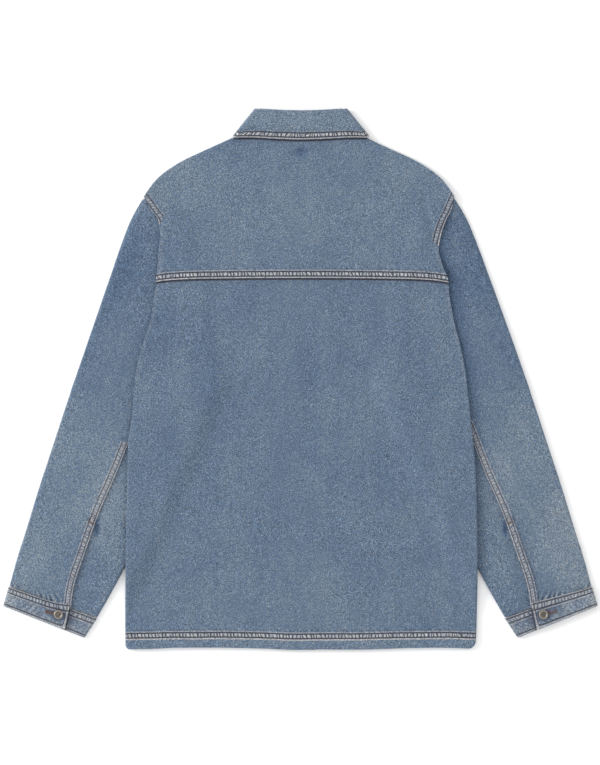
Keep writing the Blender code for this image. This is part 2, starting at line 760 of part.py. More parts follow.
def main():
    for obj in list(bpy.data.objects):
        bpy.data.objects.remove(obj, do_unlink=True)
    built = bpy.data.collections.new(BUILT)
    bpy.context.scene.collection.children.link(built)

    denim = make_material("denim", (0.135, 0.2, 0.28), 0.9)
    yoke_denim = make_material("yoke_denim", (0.16, 0.22, 0.29), 0.9)
    sleeve_denim = make_material("sleeve_denim", (0.15, 0.21, 0.29), 0.9)
    under_denim = make_material("under_denim", (0.18, 0.24, 0.3), 0.9)
    trim_denim = make_material("trim_denim", (0.2, 0.25, 0.3), 0.9)
    metal = make_material("button_metal", (0.5, 0.47, 0.4), 0.4, 1.0)

    make_back_panel(denim)
    make_yoke(yoke_denim)
    make_front_band(trim_denim)
    make_collar_leaf(trim_denim)
    make_collar_stand(trim_denim)
    for number, height in enumerate(BUTTON_HEIGHTS, 1):
        name = f"front_button_{number}"
        base = BAND_LIFT - GAP
        make_button(name, 0, height, base, -1, FRONT_BUTTON_RADIUS, base - 0.3, metal, 16)
    for hand, side in ((-1, "left"), (1, "right")):
        make_front(hand, denim)
        make_sleeve_main(hand, sleeve_denim)
        make_sleeve_under(hand, under_denim)
        make_placket(hand, sleeve_denim)
        make_cuff(hand, trim_denim)
        x, y = CUFF_BUTTON
        name, base = f"cuff_button_{side}", CUFF_TOP + GAP
        make_button(name, hand * x, y, base, 1, CUFF_BUTTON_RADIUS, CUFF_BUTTON_TALL, metal, 20)


main()
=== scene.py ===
# The finish of a denim jacket that lies flat on its front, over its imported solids.
# Tables and sizes are in millimetres: x out from the jacket's centre line, y up from the hem's
# lower edge, z above the surface it lies on. Points turn into metres where a mesh is made.

import math
from collections import namedtuple

import bpy
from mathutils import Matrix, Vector, noise


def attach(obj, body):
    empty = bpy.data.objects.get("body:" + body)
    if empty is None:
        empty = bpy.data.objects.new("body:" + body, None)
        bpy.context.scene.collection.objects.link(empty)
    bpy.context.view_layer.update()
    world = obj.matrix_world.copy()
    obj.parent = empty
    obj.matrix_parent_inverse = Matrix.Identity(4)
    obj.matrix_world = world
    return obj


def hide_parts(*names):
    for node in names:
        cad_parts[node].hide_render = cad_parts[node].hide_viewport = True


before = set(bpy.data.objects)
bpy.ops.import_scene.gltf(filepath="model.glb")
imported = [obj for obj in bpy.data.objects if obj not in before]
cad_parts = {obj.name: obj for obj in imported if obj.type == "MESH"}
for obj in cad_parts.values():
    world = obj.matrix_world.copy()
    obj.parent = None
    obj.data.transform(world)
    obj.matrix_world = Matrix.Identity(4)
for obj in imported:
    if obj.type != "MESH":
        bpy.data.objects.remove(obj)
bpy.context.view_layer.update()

mm = 0.001
middle = 393.0  # the frame's origin, up from the hem

cloth = {
    "ply": 1.4,
    "hem": 2.6,
    "cuff": 2.2,
    "collar": 1.8,
    "band": 2.2,
    "strip": 1.2,
    "gap": 0.3,  # between pieces at a seam
    "armholeGap": 1.2,
    "foldRadius": 3.2,  # of the body's side folds
    "softEdge": 0.4,  # rounding of a wall's edges
}

level = {  # heights of the outside faces
    "sleeveTop": 6.0,
    "seamRaise": 0.7,
    "seamSink": 1.0,
    "bodyTop": 6.4,
    "overOne": 8.6,
    "overTwo": 12.6,
    "frontLift": 7.3,
    "leafLift": 2.2,
    "bandLift": 2.2,
    "cuffTop": 8.4,
    "cuffUnderTop": 5.8,
    "collarMiddle": 4.8,
}


def rowsOf(kind, *rows):
    return [kind(*row) for row in rows]


# The body's edges: how far out they lie on either side at each height.
bodyEdge = namedtuple("bodyEdge", "y left right")
bodyEdges = rowsOf(
    bodyEdge,
    (0, 251, 246.5), (4, 254, 251), (9, 254.8, 253.6), (48, 255, 255), (133, 254, 256),
    (216, 252.5, 254.5), (261, 251.5, 253), (302, 250.5, 249.5), (323, 247, 247), (342, 244.5, 245),
    (368, 243, 242.5), (396, 240.5, 239.5), (431, 233.5, 233.5), (450, 228, 229), (468, 221.5, 224),
    (492, 216, 219), (519, 213, 215), (535, 210.5, 214), (560, 208, 205), (584, 206, 199.5),
    (600, 204.5, 202.5), (621, 206.3, 209.5), (638, 218.0, 218.0), (655, 228, 222.5),
)

# The hem's edge is uneven as it lies: its height at places across the jacket.
hemPoint = namedtuple("hemPoint", "x lift")
hemEdge = rowsOf(
    hemPoint,
    (-252, 0.9), (-216, 1.7), (-181, 3.2), (-138, 3.5), (-94, 3.0), (-60, 2.3), (-7, 0.2),
    (28, 0.8), (80, 0.5), (115, 1.3), (149, 2.6), (202, 3.3), (250, 1.9),
)

# The fold where the yoke turns over to the front, from the neck to the sleeve's head.
shoulderPoint = namedtuple("shoulderPoint", "x y")
shoulder = rowsOf(
    shoulderPoint,
    (75, 752.5), (101.5, 741), (143.5, 722), (168, 710.5), (192.5, 695.5), (208.5, 682),
    (219.5, 668), (228, 655),
)
shoulderStart = 75
shoulderEnd = 226.8
neckBack = rowsOf(
    shoulderPoint,
    (0, 745), (25, 745.5), (50, 748), (75, 752.5),
)

# Flat sections of the sleeve, from the armhole to the cuff.
sleeveSection = namedtuple("sleeveSection", "outerX outerY innerX innerY seam bow swell")
sleeve = rowsOf(
    sleeveSection,
    (230.4, 653.2, 139, 384, 171, 35, 0.0), (247, 623.5, 141.5, 380.5, 162, 26, 0.0),
    (261.5, 586, 144.5, 375, 148, 18, 0.1), (276, 544, 148, 367.5, 133, 11, 0.3),
    (293, 494.5, 152.5, 357.5, 121, 6, 0.5), (308.5, 449.5, 158.5, 343, 112, 2, 0.7),
    (325.5, 400, 168.5, 317.5, 107, 0, 0.5), (343.5, 346.5, 185.5, 278.5, 103.5, 0, 0.8),
    (361, 293, 206, 230.5, 99.8, 0, 0.6), (380, 235, 228.5, 177, 94, 0, 0.8),
    (397.5, 178, 254, 123, 91.5, 0, 0.5), (412.5, 130.5, 278, 78, 90.5, 0, 0.7),
    (422.9, 92.3, 296.1, 46.7, 94, 0, 0.4),
)
sideName = {-1: "left", 1: "right"}
# How much closer in the right side lies than the left, low down and high up.
rightIn = {"low": 1.5, "high": 7.0, "from": 400, "over": 330}

body = {
    "hemDepth": 27.0,
    "hemReach": 45.0,
    "yokeSeam": 540.5,
    "yokeDroop": 2.4,
    "yokeEndDroop": 3.6,
    "yokeHalf": 210.0,
    "yokeLap": 12.0,
    "yokeLift": 1.95,
    "bandHalf": 21.0,
    "neckFront": 652.0,
    "turnTop": 352,  # the side folds are fully turned 52 below this
    "turnOver": 52,
}
leafCorners = [(3, 682), (50, 622), (100.4, 742.8), (68.6, 782.6)]  # of the collar's front half

# Soft folds of the back that the solids have too.
fold = namedtuple("fold", "x1 y1 x2 y2 halfWidth height")
bodyFolds = rowsOf(
    fold,
    (176, 655, 197, 588, 9, -0.9), (-205, 330, -120, 250, 24, -0.5), (205, 330, 130, 262, 26, -0.6),
    (-150, 505, -140, 320, 26, -0.4), (14, 470, 10, 250, 22, -0.5), (110, 500, 130, 380, 26, 0.3),
    (-60, 180, 120, 150, 30, -0.4),
)


def sideOf(x):
    return sideName[-1 if x < 0 else 1]


def smooth(t):
    t = min(max(t, 0.0), 1.0)
    return t * t * (3 - 2 * t)


def mix(a, b, t):
    return a + (b - a) * t


def spread(start, end, step):
    # even steps from start to end, none longer than step
    count = max(1, math.ceil(abs(end - start) / step - 0.001))
    return [mix(start, end, i / count) for i in range(count + 1)]


def steps(*stretches):
    # one list from several stretches of (start, end, step)
    places = []
    for start, end, step in stretches:
        places += spread(start, end, step)[:-1]
    return places + [stretches[-1][1]]


def readCurve(rows, known, wanted, value):
    # a table's column on a curve that never passes its own rows' values
    rows = sorted(rows, key=lambda row: getattr(row, known))
    at = [getattr(row, known) for row in rows]
    to = [getattr(row, wanted) for row in rows]
    i = 0
    while i < len(at) - 2 and value > at[i + 1]:
        i += 1

    def slope(j):
        return (to[j + 1] - to[j]) / (at[j + 1] - at[j])

    def tangent(j):
        if j in (0, len(at) - 1):
            return slope(max(j - 1, 0))
        before, after = slope(j - 1), slope(j)
        return 2 * before * after / (before + after) if before * after > 0 else 0.0

    span = at[i + 1] - at[i]
    t = min(max((value - at[i]) / span, 0.0), 1.0)
    start, end = tangent(i) * span, tangent(i + 1) * span
    change = to[i + 1] - to[i]
    return to[i] + t * (start + t * (3 * change - 2 * start - end + t * (start + end - 2 * change)))


def curveRow(rows, at):
    # the table's row at a fractional row number
    first = min(int(at), len(rows) - 2)
    t = at - first
    before, start = rows[max(first - 1, 0)], rows[first]
    end, after = rows[first + 1], rows[min(first + 2, len(rows) - 1)]
    values = []
    for a, b, c, d in zip(before, start, end, after):
        bend = (2 * a - 5 * b + 4 * c - d) * t + (3 * b - a - 3 * c + d) * t * t
        values.append(b + 0.5 * t * (c - a + bend))
    return type(start)(*values)


def sectionLength(section):
    return math.hypot(section.outerX - section.innerX, section.outerY - section.innerY)


def onSection(section, share):
    length = sectionLength(section)
    acrossX = (section.outerY - section.innerY) / length
    acrossY = (section.outerX - section.innerX) / length
    bow = section.bow * math.sin(math.pi * math.sqrt(min(max(share, 0.0), 1.0)))
    x = mix(section.outerX, section.innerX, share) - acrossX * bow
    y = mix(section.outerY, section.innerY, share) + acrossY * bow
    return x, y


def rightShift(y):
    return mix(rightIn["low"], rightIn["high"], smooth((y - rightIn["from"]) / rightIn["over"]))


def armholePoint(share, hand):
    x, y = onSection(sleeve[0], share)
    shift = rightShift(y) * (1 - share) if hand > 0 else 0.0
    return x - shift - cloth["armholeGap"], y


# Looked up often, so these two are read once for every 2 mm.
armhole = [shoulderPoint(*onSection(sleeve[0], i / 20)) for i in range(21)]


def sleeveEdgeAt(y):
    if y < sleeve[0].innerY:
        return readCurve(sleeve, "innerY", "innerX", y)
    return readCurve(armhole, "y", "x", y)


sleeveEdges = [sleeveEdgeAt(2.0 * i) for i in range(400)]
edgeLists = {}
for side in sideName.values():
    edgeLists[side] = [readCurve(bodyEdges, "y", side, 2.0 * i) for i in range(400)]


def listed(values, y):
    at = min(max(y / 2.0, 0.0), len(values) - 1.001)
    return mix(values[int(at)], values[int(at) + 1], at - int(at))


def bodyEdgeAt(side, y):
    return readCurve(bodyEdges, "y", side, y) if y < 20 else listed(edgeLists[side], y)


def overSleeve(x, y, reach=30.0, clear=7.0):
    beside = 0.9 * (listed(sleeveEdges, y) - abs(x))
    return smooth(1 - (beside - clear) / reach)


def overLeaf(x, y):
    outside = -1e9
    for (ax, ay), (bx, by) in zip(leafCorners, leafCorners[1:] + leafCorners[:1]):
        side = math.hypot(bx - ax, by - ay)
        distance = ((by - ay) * (abs(x) - ax) - (bx - ax) * (y - ay)) / side
        outside = max(outside, distance)
    return smooth(1 - (outside - 8) / 22)


def nearBand(x):
    return smooth(1 - (abs(x) - body["bandHalf"] - 2) / 26)


def frontHeight(x, y):
    aboveArmhole = 1 - smooth((y - sleeve[0].innerY - 8) / 45)
    overIt = level["frontLift"] * overSleeve(x, y) * aboveArmhole
    leaf = level["leafLift"] * overLeaf(x, y)
    band = level["bandLift"] * nearBand(x) * (1 - smooth((y - body["neckFront"]) / 20))
    return max(overIt, leaf, band)


def foldHeight(folds, x, y):
    total = 0.0
    for f in folds:
        runX, runY = f.x2 - f.x1, f.y2 - f.y1
        t = ((x - f.x1) * runX + (y - f.y1) * runY) / (runX**2 + runY**2)
        inside = min(max(t, 0.0), 1.0)
        away = math.hypot(x - f.x1 - inside * runX, y - f.y1 - inside * runY)
        total += f.height * smooth(1 - away / f.halfWidth)
    return total


hemLifts = [readCurve(hemEdge, "x", "lift", 2.0 * i - 260) for i in range(261)]


def hemLift(x):
    return listed(hemLifts, x + 260)


def backHeight(x, y):
    lapLine = mix(sleeve[0].innerY, 345, (abs(x) - 139) / 104)
    both = smooth((lapLine + 43 - y) / 60)
    over = overSleeve(x, y, reach=mix(26.0, 34.0, both), clear=mix(4.0, 9.0, both))
    hem = 0.8 * (1 - smooth((y - body["hemDepth"] - hemLift(x)) / 4))
    centre = 0.3 * nearBand(x)
    lying = mix(level["bodyTop"] + centre, mix(level["overOne"], level["overTwo"], both), over)
    return lying + hem + foldHeight(bodyFolds, x, y)


def yokeSeamY(x):
    out = x / body["yokeHalf"]
    return body["yokeSeam"] - body["yokeDroop"] * out**2 - body["yokeEndDroop"] * out**10


def sideShift(x, y):
    return -rightShift(y) * smooth((x - 75) / 45) if x > 0 else 0.0


def waved(x, y):
    return y + hemLift(x) * (1 - smooth((y - body["hemDepth"]) / body["hemReach"]))


def sideTurned(y):
    return smooth((body["turnTop"] - y) / body["turnOver"])


def sideOpening(y):
    return 0.5 * cloth["gap"] + 0.8 * smooth((y - 270) / 30)


uprightEnd = 0.9  # height of a side fold's straight end


def sideTurn(x, y, hand, face, seamZ, turned):
    # from a face round the half of a side fold that ends at the seam's height
    upright = uprightEnd if seamZ < face else -uprightEnd
    points = []
    for angle in range(0, 91, 15):
        out, down = math.sin(math.radians(angle)), 1 - math.cos(math.radians(angle))
        reach = (cloth["foldRadius"] - 1.0 + turned) * out
        points.append((x + hand * reach, y, face - turned * down * (face - seamZ - upright)))
    points.append((x + hand * cloth["foldRadius"], y, mix(face, seamZ, turned)))
    return points


def outerTurn(radius, count=8):
    # (distance, height) pairs down round an outer fold, without its ends
    pairs = []
    for i in range(1, count):
        a = math.pi * i / count
        pairs.append((radius - radius * math.sin(a), radius + radius * math.cos(a)))
    return pairs


print("shape read")

# Every cloth piece is one sheet: a grid of outside points that then gets its wall.
doubleNeedle = 6.35  # between the two rows of a seam
offSeam = 60.0  # a distance at which no seam shows
noSeam = (0.0, offSeam, 0.0, offSeam)  # run and distance from the first row, for two seams
made = {}  # outside points, normals, faces and marks of each sheet, for sewing
seamForm = {  # mm: middles and half widths across a felled seam, and heights
    "row": 0.9,
    "sunk": -0.3,
    "edgeRidge": (-2.0, 1.3, 0.26),
    "farRidge": (8.3, 1.3, 0.24),
    "wave": 9.3,
    "waveHeight": 0.34,
    "waveReach": 6.5,
}


def chance(x, y, z=0.0):
    return noise.noise(Vector((x, y, z)))


def bump(d, width):
    return smooth(1 - abs(d) / width)


def seamRidges(d):
    # the felled seam's ridges and sunk rows
    total = seamForm["sunk"] * (bump(d, seamForm["row"]) + bump(d - doubleNeedle, seamForm["row"]))
    for centre, width, height in (seamForm["edgeRidge"], seamForm["farRidge"]):
        total += height * bump(d - centre, width)
    return total


def seamPucker(run, d):
    # the small waves of the cloth beside a felled seam
    if d > 34 or d < -16:
        return 0.0
    away = max(d - 8.5, -d - 2.5, 0.0)
    fade = smooth(away / 2.0) * math.exp(-away / seamForm["waveReach"])
    uneven = 0.5 + 0.5 * chance(run / 26, 3.1)
    wander = 2.2 * chance(run / 17, 9.7)
    turn = 2 * math.pi * (run + 0.9 * away) / seamForm["wave"] + 3 * wander
    return seamForm["waveHeight"] * fade * uneven * math.sin(turn)


def oneRow(run, inFrom, rowIn):
    # a seam mark for a single row, whose second row would lie past the jump
    d = inFrom - rowIn
    return (run, d if d < 1.6 else offSeam)


def addLayer(mesh, name, pairs):
    # a UV layer from one (u, v) for each point
    layer = mesh.uv_layers.new(name=name)
    values = []
    for loop in mesh.loops:
        values += pairs[loop.vertex_index]
    layer.data.foreach_set("uv", values)


def addValue(mesh, name, values):
    mesh.attributes.new(name, "FLOAT", "POINT").data.foreach_set("value", values)


shadowReach = 24.0  # mm beside a covering edge that the painted shadow reaches
puckerTone = 0.75  # how much paler the wash leaves a pucker for each mm that it stands up


def shadowShare(distance):
    return min(max(1 - distance / shadowReach, 0.0), 1.2)


def clothSheet(
    name, grid, wall, material, outward=1, keep=None, plies=None, marks=None,
    lift=None, pucker=None, washAndShade=None, worn=None, rubbed=None, covered=None,
):
    # keep chooses faces, plies thins the wall, marks places the seams, the rest raise or tone points;
    # covered gives the distance for painted shadow beside a covering edge
    columns = len(grid[0])
    points = [Vector(p) for row in grid for p in row]
    faces = []
    for r in range(len(grid) - 1):
        for c in range(columns - 1):
            if keep and not keep(r, c):
                continue
            first = r * columns + c
            face = (first, first + 1, first + columns + 1, first + columns)
            faces.append(face if outward > 0 else face[::-1])
    flatMarks = [m for row in marks for m in row] if marks else [noSeam] * len(points)
    used = sorted({corner for face in faces for corner in face})
    index = {old: new for new, old in enumerate(used)}
    flatFaces = [[index[i] for i in face] for face in faces]
    piece, mesh = newPiece(name, [points[i] for i in used], [], flatFaces, material)
    normals = {old: mesh.vertices[index[old]].normal.copy() for old in used}
    tones = []
    for old in used:
        x, y, z = points[old]
        runA, dA, runB, dB = flatMarks[old]
        small = seamPucker(runA, dA) + 0.6 * seamPucker(runB, dB)
        small += pucker(old // columns, old % columns) if pucker else 0.0
        rise = small + seamRidges(dA) + 0.6 * seamRidges(dB)
        rise += lift(x, y, z) if lift else 0.0
        points[old] = points[old] + normals[old] * rise
        tones.append(puckerTone * small)
        mesh.vertices[index[old]].co = inMetres(points[old])
    made[name] = {"points": points, "normals": normals, "marks": flatMarks, "faces": faces}
    addLayer(mesh, "seamA", [flatMarks[old][:2] for old in used])
    addLayer(mesh, "seamB", [flatMarks[old][2:] for old in used])
    places = [points[old] for old in used]
    addValue(mesh, "washAndShade", [tone + (washAndShade(*place) if washAndShade else 0.5) for tone, place in zip(tones, places)])
    wear = [worn(place.x, place.y) if worn else 0.0 for place in places]
    if rubbed:
        wear = [rubbed[old // columns][old % columns] for old in used]
    addValue(mesh, "worn", wear)
    covers = [shadowShare(covered(old // columns, old % columns)) if covered else 0.0 for old in used]
    addValue(mesh, "coverShadow", covers)
    solid = piece.modifiers.new("Wall", "SOLIDIFY")
    solid.thickness = wall * mm
    solid.offset = -1.0
    if plies:
        shares = [share for row in plies for share in row]
        group = piece.vertex_groups.new(name="plies")
        for new, old in enumerate(used):
            group.add([new], shares[old], "REPLACE")
        solid.vertex_group = group.name
        solid.thickness_vertex_group = cloth["ply"] / wall
    edge = piece.modifiers.new("Soft edge", "BEVEL")
    edge.width = cloth["softEdge"] * mm
    edge.segments = 2
    edge.limit_method = "ANGLE"
    edge.angle_limit = math.radians(62)
    finishMesh(piece)
    return piece


def inMetres(p):
    return p.x * mm, (p.y - middle) * mm, p.z * mm


def newPiece(name, points, edges, faces, material):
    mesh = bpy.data.meshes.new(name)
    mesh.from_pydata(points, edges, faces)
    piece = bpy.data.objects.new(name, mesh)
    bpy.context.scene.collection.objects.link(piece)
    mesh.materials.append(material)
    return piece, mesh


def standFor(piece, node):
    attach(piece, "root")
    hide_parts(node)


def pick(piece):
    bpy.ops.object.select_all(action="DESELECT")
    bpy.context.view_layer.objects.active = piece
    piece.select_set(True)


def finishMesh(piece):
    # applies the modifiers and shades the piece smooth
    pick(piece)
    for modifier in list(piece.modifiers):
        bpy.ops.object.modifier_apply(modifier=modifier.name)
    bpy.ops.object.shade_smooth()
    piece.select_set(False)


denimLook = {
    "deep": (0.025, 0.05, 0.1),
    "blue": (0.078, 0.1236, 0.193),
    "pale": (0.285, 0.315, 0.318),
    "worn": (0.42, 0.40, 0.39),
    "dab": (0.425, 0.42, 0.415),
    "shade": (0.02, 0.018, 0.032),  # in the needle rows and sunk places of a seam, and painted shadow beside a covering edge
    "slub": (640, 430, 400),  # yarn unevenness for each metre: across the warp, along it, down
    "longSlub": (640, 300, 400),
    "weft": (380, 640, 400),
    "fleck": 950,
    "salt": (1150, 900, 900),
    "saltShare": 3.8,
    "twill": 370,
    "cloud": 13,
    "streak": (42, 4, 10),
    "rung": 5.0,  # mm between the pulled places in a seam
    "tones": {"slub": 0.68, "weft": 0.36, "fleck": 1.05, "cloud": 0.22, "streak": 0.14},
    "twillTone": 0.1,
    "heights": {"slub": 0.3, "weft": 0.16, "fleck": 0.2},  # mm
    "twillHeight": 0.07,
    "rowDepth": -0.3,
    "dabHeight": 0.35,
    "edgeHeight": 0.12,
}

# Parts of a double-needle seam: the middle, in from the first row, and the distances from
# there between which the part fades.
seamParts = {
    "firstRow": (0.0, 0.5, 1.4),
    "secondRow": (doubleNeedle, 0.5, 1.4),
    "between": (doubleNeedle / 2, 2.0, 3.1),
    "edge": (-2.2, 0.5, 1.5),
    "ridge": (doubleNeedle + 2.0, 0.3, 1.2),
    "beyond": (doubleNeedle + 4.4, 0.4, 2.4),
    "band": (2.8, 5.0, 6.4),
}

# How strong each part of a seam shows, and the painted shadow beside an edge that covers the cloth: a dark
# line at the edge and a wider soft shade.
seamLook = namedtuple("seamLook", "edge ridge dab bar row band crevice beside")


def makeNode(tree, kind, sockets=None, **settings):
    new = tree.nodes.new(kind)
    for key, value in settings.items():
        setattr(new, key, value)
    for key, value in (sockets or {}).items():
        if isinstance(value, bpy.types.NodeSocket):
            tree.links.new(value, new.inputs[key])
        else:
            new.inputs[key].default_value = value
    return new


def calc(tree, operation, a, b=0.0, c=0.0, clamp=False):
    sockets = {0: a, 1: b, 2: c}
    return makeNode(tree, "ShaderNodeMath", sockets, operation=operation, use_clamp=clamp).outputs[0]


def times(tree, a, b):
    return calc(tree, "MULTIPLY", a, b)


def most(tree, first, *others):
    for other in others:
        first = calc(tree, "MAXIMUM", first, other)
    return first


def eased(tree, value, low, high, start, end):
    sockets = {"Value": value, "From Min": low, "From Max": high, "To Min": start, "To Max": end}
    return makeNode(tree, "ShaderNodeMapRange", sockets, interpolation_type="SMOOTHSTEP").outputs["Result"]


def window(tree, value, centre, inner, outer):
    # 1 within inner of the centre, falling to 0 at outer
    away = calc(tree, "ABSOLUTE", calc(tree, "SUBTRACT", value, centre))
    return eased(tree, away, inner, outer, 1.0, 0.0)


def noiseAt(tree, vector, scale, detail=2.0, rough=0.55):
    # a noise about 0, from a mapped vector
    if isinstance(scale, tuple):
        vector = makeNode(tree, "ShaderNodeMapping", {"Vector": vector, "Scale": scale}).outputs[0]
        scale = 1.0
    sockets = {"Vector": vector, "Scale": scale, "Detail": detail, "Roughness": rough}
    grain = makeNode(tree, "ShaderNodeTexNoise", sockets)
    return calc(tree, "SUBTRACT", grain.outputs["Fac"], 0.5)


def noiseAlong(tree, run, scale):
    sockets = {"W": run, "Scale": scale, "Detail": 2.0}
    return makeNode(tree, "ShaderNodeTexNoise", sockets, noise_dimensions="1D").outputs["Fac"]


def turnedBy(tree, vector, degrees):
    sockets = {"Vector": vector, "Rotation": (0.0, 0.0, math.radians(degrees))}
    return makeNode(tree, "ShaderNodeMapping", sockets).outputs[0]


def meshValue(tree, name):
    return makeNode(tree, "ShaderNodeAttribute", attribute_name=name).outputs["Fac"]


def colourMix(tree, share, under, over):
    sockets = {"Factor": share, 6: under, 7: (*over, 1.0)}
    return makeNode(tree, "ShaderNodeMix", sockets, data_type="RGBA").outputs[2]


def newMaterial(name):
    material = bpy.data.materials.new(name)
    material.use_nodes = True
    return material, material.node_tree, material.node_tree.nodes["Principled BSDF"]


def seamNodes(tree, layer, look):
    # (worn, dab, dark, height in mm) of a double-needle seam, from its UV layer of run and distance
    uv = makeNode(tree, "ShaderNodeUVMap", uv_map=layer).outputs[0]
    split = makeNode(tree, "ShaderNodeSeparateXYZ", {0: uv})
    run, d = split.outputs[0], split.outputs[1]
    slow = noiseAlong(tree, run, 0.06)
    lean = times(tree, calc(tree, "SUBTRACT", slow, 0.45), d)
    slant = calc(tree, "MULTIPLY_ADD", lean, 2.6, run)
    quick = noiseAlong(tree, slant, 0.4)
    cells = makeNode(
        tree,
        "ShaderNodeTexVoronoi",
        {"W": slant, "Scale": 1 / denimLook["rung"], "Randomness": 0.75},
        voronoi_dimensions="1D",
        feature="DISTANCE_TO_EDGE",
    ).outputs["Distance"]
    rung = eased(tree, cells, 0.11, 0.27, 0.0, 1.0)
    part = {name: window(tree, d, *where) for name, where in seamParts.items()}
    row = most(tree, part["firstRow"], part["secondRow"])
    pulled = times(tree, part["between"], rung)
    sunk = times(tree, part["between"], calc(tree, "SUBTRACT", 1.0, rung))
    lively = calc(tree, "MULTIPLY_ADD", slow, 1.7, 0.1, clamp=True)
    broken = calc(tree, "MULTIPLY_ADD", quick, 1.3, 0.3, clamp=True)
    worn = most(tree, times(tree, part["edge"], look.edge), times(tree, part["ridge"], look.ridge))
    worn = most(tree, times(tree, worn, broken), times(tree, part["band"], look.band))
    dab = times(tree, times(tree, pulled, lively), look.dab)
    dark = most(
        tree,
        times(tree, row, calc(tree, "MULTIPLY_ADD", quick, 0.4 * look.row, 0.75 * look.row)),
        times(tree, times(tree, sunk, lively), look.bar),
        times(tree, times(tree, part["beyond"], quick), 0.4 * look.bar),
    )
    height = times(tree, pulled, denimLook["dabHeight"])
    height = calc(tree, "MULTIPLY_ADD", row, denimLook["rowDepth"], height)
    height = calc(tree, "MULTIPLY_ADD", part["edge"], denimLook["edgeHeight"], height)
    return worn, dab, dark, height


def denim(name, turn, seam, second, yarn="slub"):
    # washed twill, turned in plan so that its warp runs along the piece
    material, tree, shader = newMaterial(name)
    where = makeNode(tree, "ShaderNodeTexCoord").outputs["Object"]
    along = turnedBy(tree, where, -turn)
    grains = {
        "slub": noiseAt(tree, along, denimLook[yarn]),
        "weft": noiseAt(tree, along, denimLook["weft"]),
        "fleck": noiseAt(tree, along, denimLook["fleck"], detail=1.5),
        "cloud": noiseAt(tree, where, denimLook["cloud"], detail=4.0, rough=0.6),
        "streak": noiseAt(tree, along, denimLook["streak"], detail=3.0),
    }
    salt = noiseAt(tree, along, denimLook["salt"], detail=1.0)
    sockets = {"Vector": turnedBy(tree, along, -30), "Scale": denimLook["twill"]}
    sockets.update({"Distortion": 1.2, "Detail": 1.0})
    twill = makeNode(tree, "ShaderNodeTexWave", sockets).outputs["Fac"]
    tone = meshValue(tree, "washAndShade")
    for kind, share in denimLook["tones"].items():
        tone = calc(tree, "MULTIPLY_ADD", grains[kind], share, tone)
    tone = calc(tree, "MULTIPLY_ADD", calc(tree, "SUBTRACT", twill, 0.5), denimLook["twillTone"], tone)
    ramp = makeNode(tree, "ShaderNodeValToRGB", {"Fac": tone})
    low, high = ramp.color_ramp.elements
    low.color = (*denimLook["deep"], 1.0)
    high.color = (*denimLook["pale"], 1.0)
    ramp.color_ramp.elements.new(0.5).color = (*denimLook["blue"], 1.0)
    wornA, dabA, darkA, highA = seamNodes(tree, "seamA", seam)
    wornB, dabB, darkB, highB = seamNodes(tree, "seamB", second)
    patchy = calc(tree, "MULTIPLY_ADD", grains["slub"], 1.6, 0.8)
    pale = most(tree, wornA, wornB, times(tree, meshValue(tree, "worn"), patchy))
    # painted shadow beside an edge that covers the cloth: a dark line at the edge and a soft shade further
    # out
    coverShadow = meshValue(tree, "coverShadow")
    line = eased(tree, coverShadow, 0.84, 0.91, 0.0, seam.crevice)
    beside = times(tree, times(tree, coverShadow, coverShadow), seam.beside)
    dark = most(tree, darkA, darkB, line, beside)
    tinted = ramp.outputs["Color"]
    for share, tint in ((pale, "worn"), (most(tree, dabA, dabB), "dab"), (dark, "shade")):
        tinted = colourMix(tree, calc(tree, "ADD", share, 0.0, clamp=True), tinted, denimLook[tint])
    grainy = calc(tree, "MULTIPLY_ADD", salt, denimLook["saltShare"], 1.0)
    sockets = {0: tinted, "Scale": grainy}
    tinted = makeNode(tree, "ShaderNodeVectorMath", sockets, operation="SCALE").outputs[0]
    tree.links.new(tinted, shader.inputs["Base Color"])
    tree.links.new(calc(tree, "MULTIPLY_ADD", grains["slub"], 0.2, 0.9), shader.inputs["Roughness"])
    shader.inputs["Specular IOR Level"].default_value = 0.25
    shader.inputs["Sheen Weight"].default_value = 0.12
    shader.inputs["Sheen Roughness"].default_value = 0.6
    height = times(tree, twill, denimLook["twillHeight"])
    for kind, share in denimLook["heights"].items():
        height = calc(tree, "MULTIPLY_ADD", grains[kind], share, height)
    height = calc(tree, "ADD", height, calc(tree, "ADD", highA, highB))
    relief = makeNode(tree, "ShaderNodeBump", {"Height": height, "Strength": 1.0, "Distance": mm})
    tree.links.new(relief.outputs[0], shader.inputs["Normal"])
    return material


sleeveTurn = 27.0  # the sleeves' slope from upright, in degrees
bodySeams = seamLook(0.72, 0.45, 0.75, 0.7, 0.9, 0.06, 0.85, 0.1)
armholeSeams = seamLook(0.75, 0.2, 0.35, 0.3, 0.8, 0.12, 0.6, 0.1)
sleeveSeams = seamLook(0.75, 0.4, 0.4, 0.3, 0.45, 0.22, 0.05, 0.12)
trimSeams = seamLook(0.5, 0.5, 0.5, 0.5, 0.75, 0.1, 0.75, 0.4)
collarSeams = seamLook(0.6, 0.0, 0.75, 0.8, 0.95, 0.05, 0.66, 0.1)
denimBody = denim("denimBody", 0.0, bodySeams, armholeSeams)
denimSleeve = {
    -1: denim("denimSleeveLeft", -sleeveTurn, sleeveSeams, sleeveSeams, "longSlub"),
    1: denim("denimSleeveRight", sleeveTurn, sleeveSeams, sleeveSeams, "longSlub"),
}
denimTrim = denim("denimTrim", 90.0, trimSeams, trimSeams)
denimCollar = denim("denimCollar", 90.0, collarSeams, collarSeams)
print("denim mixed")
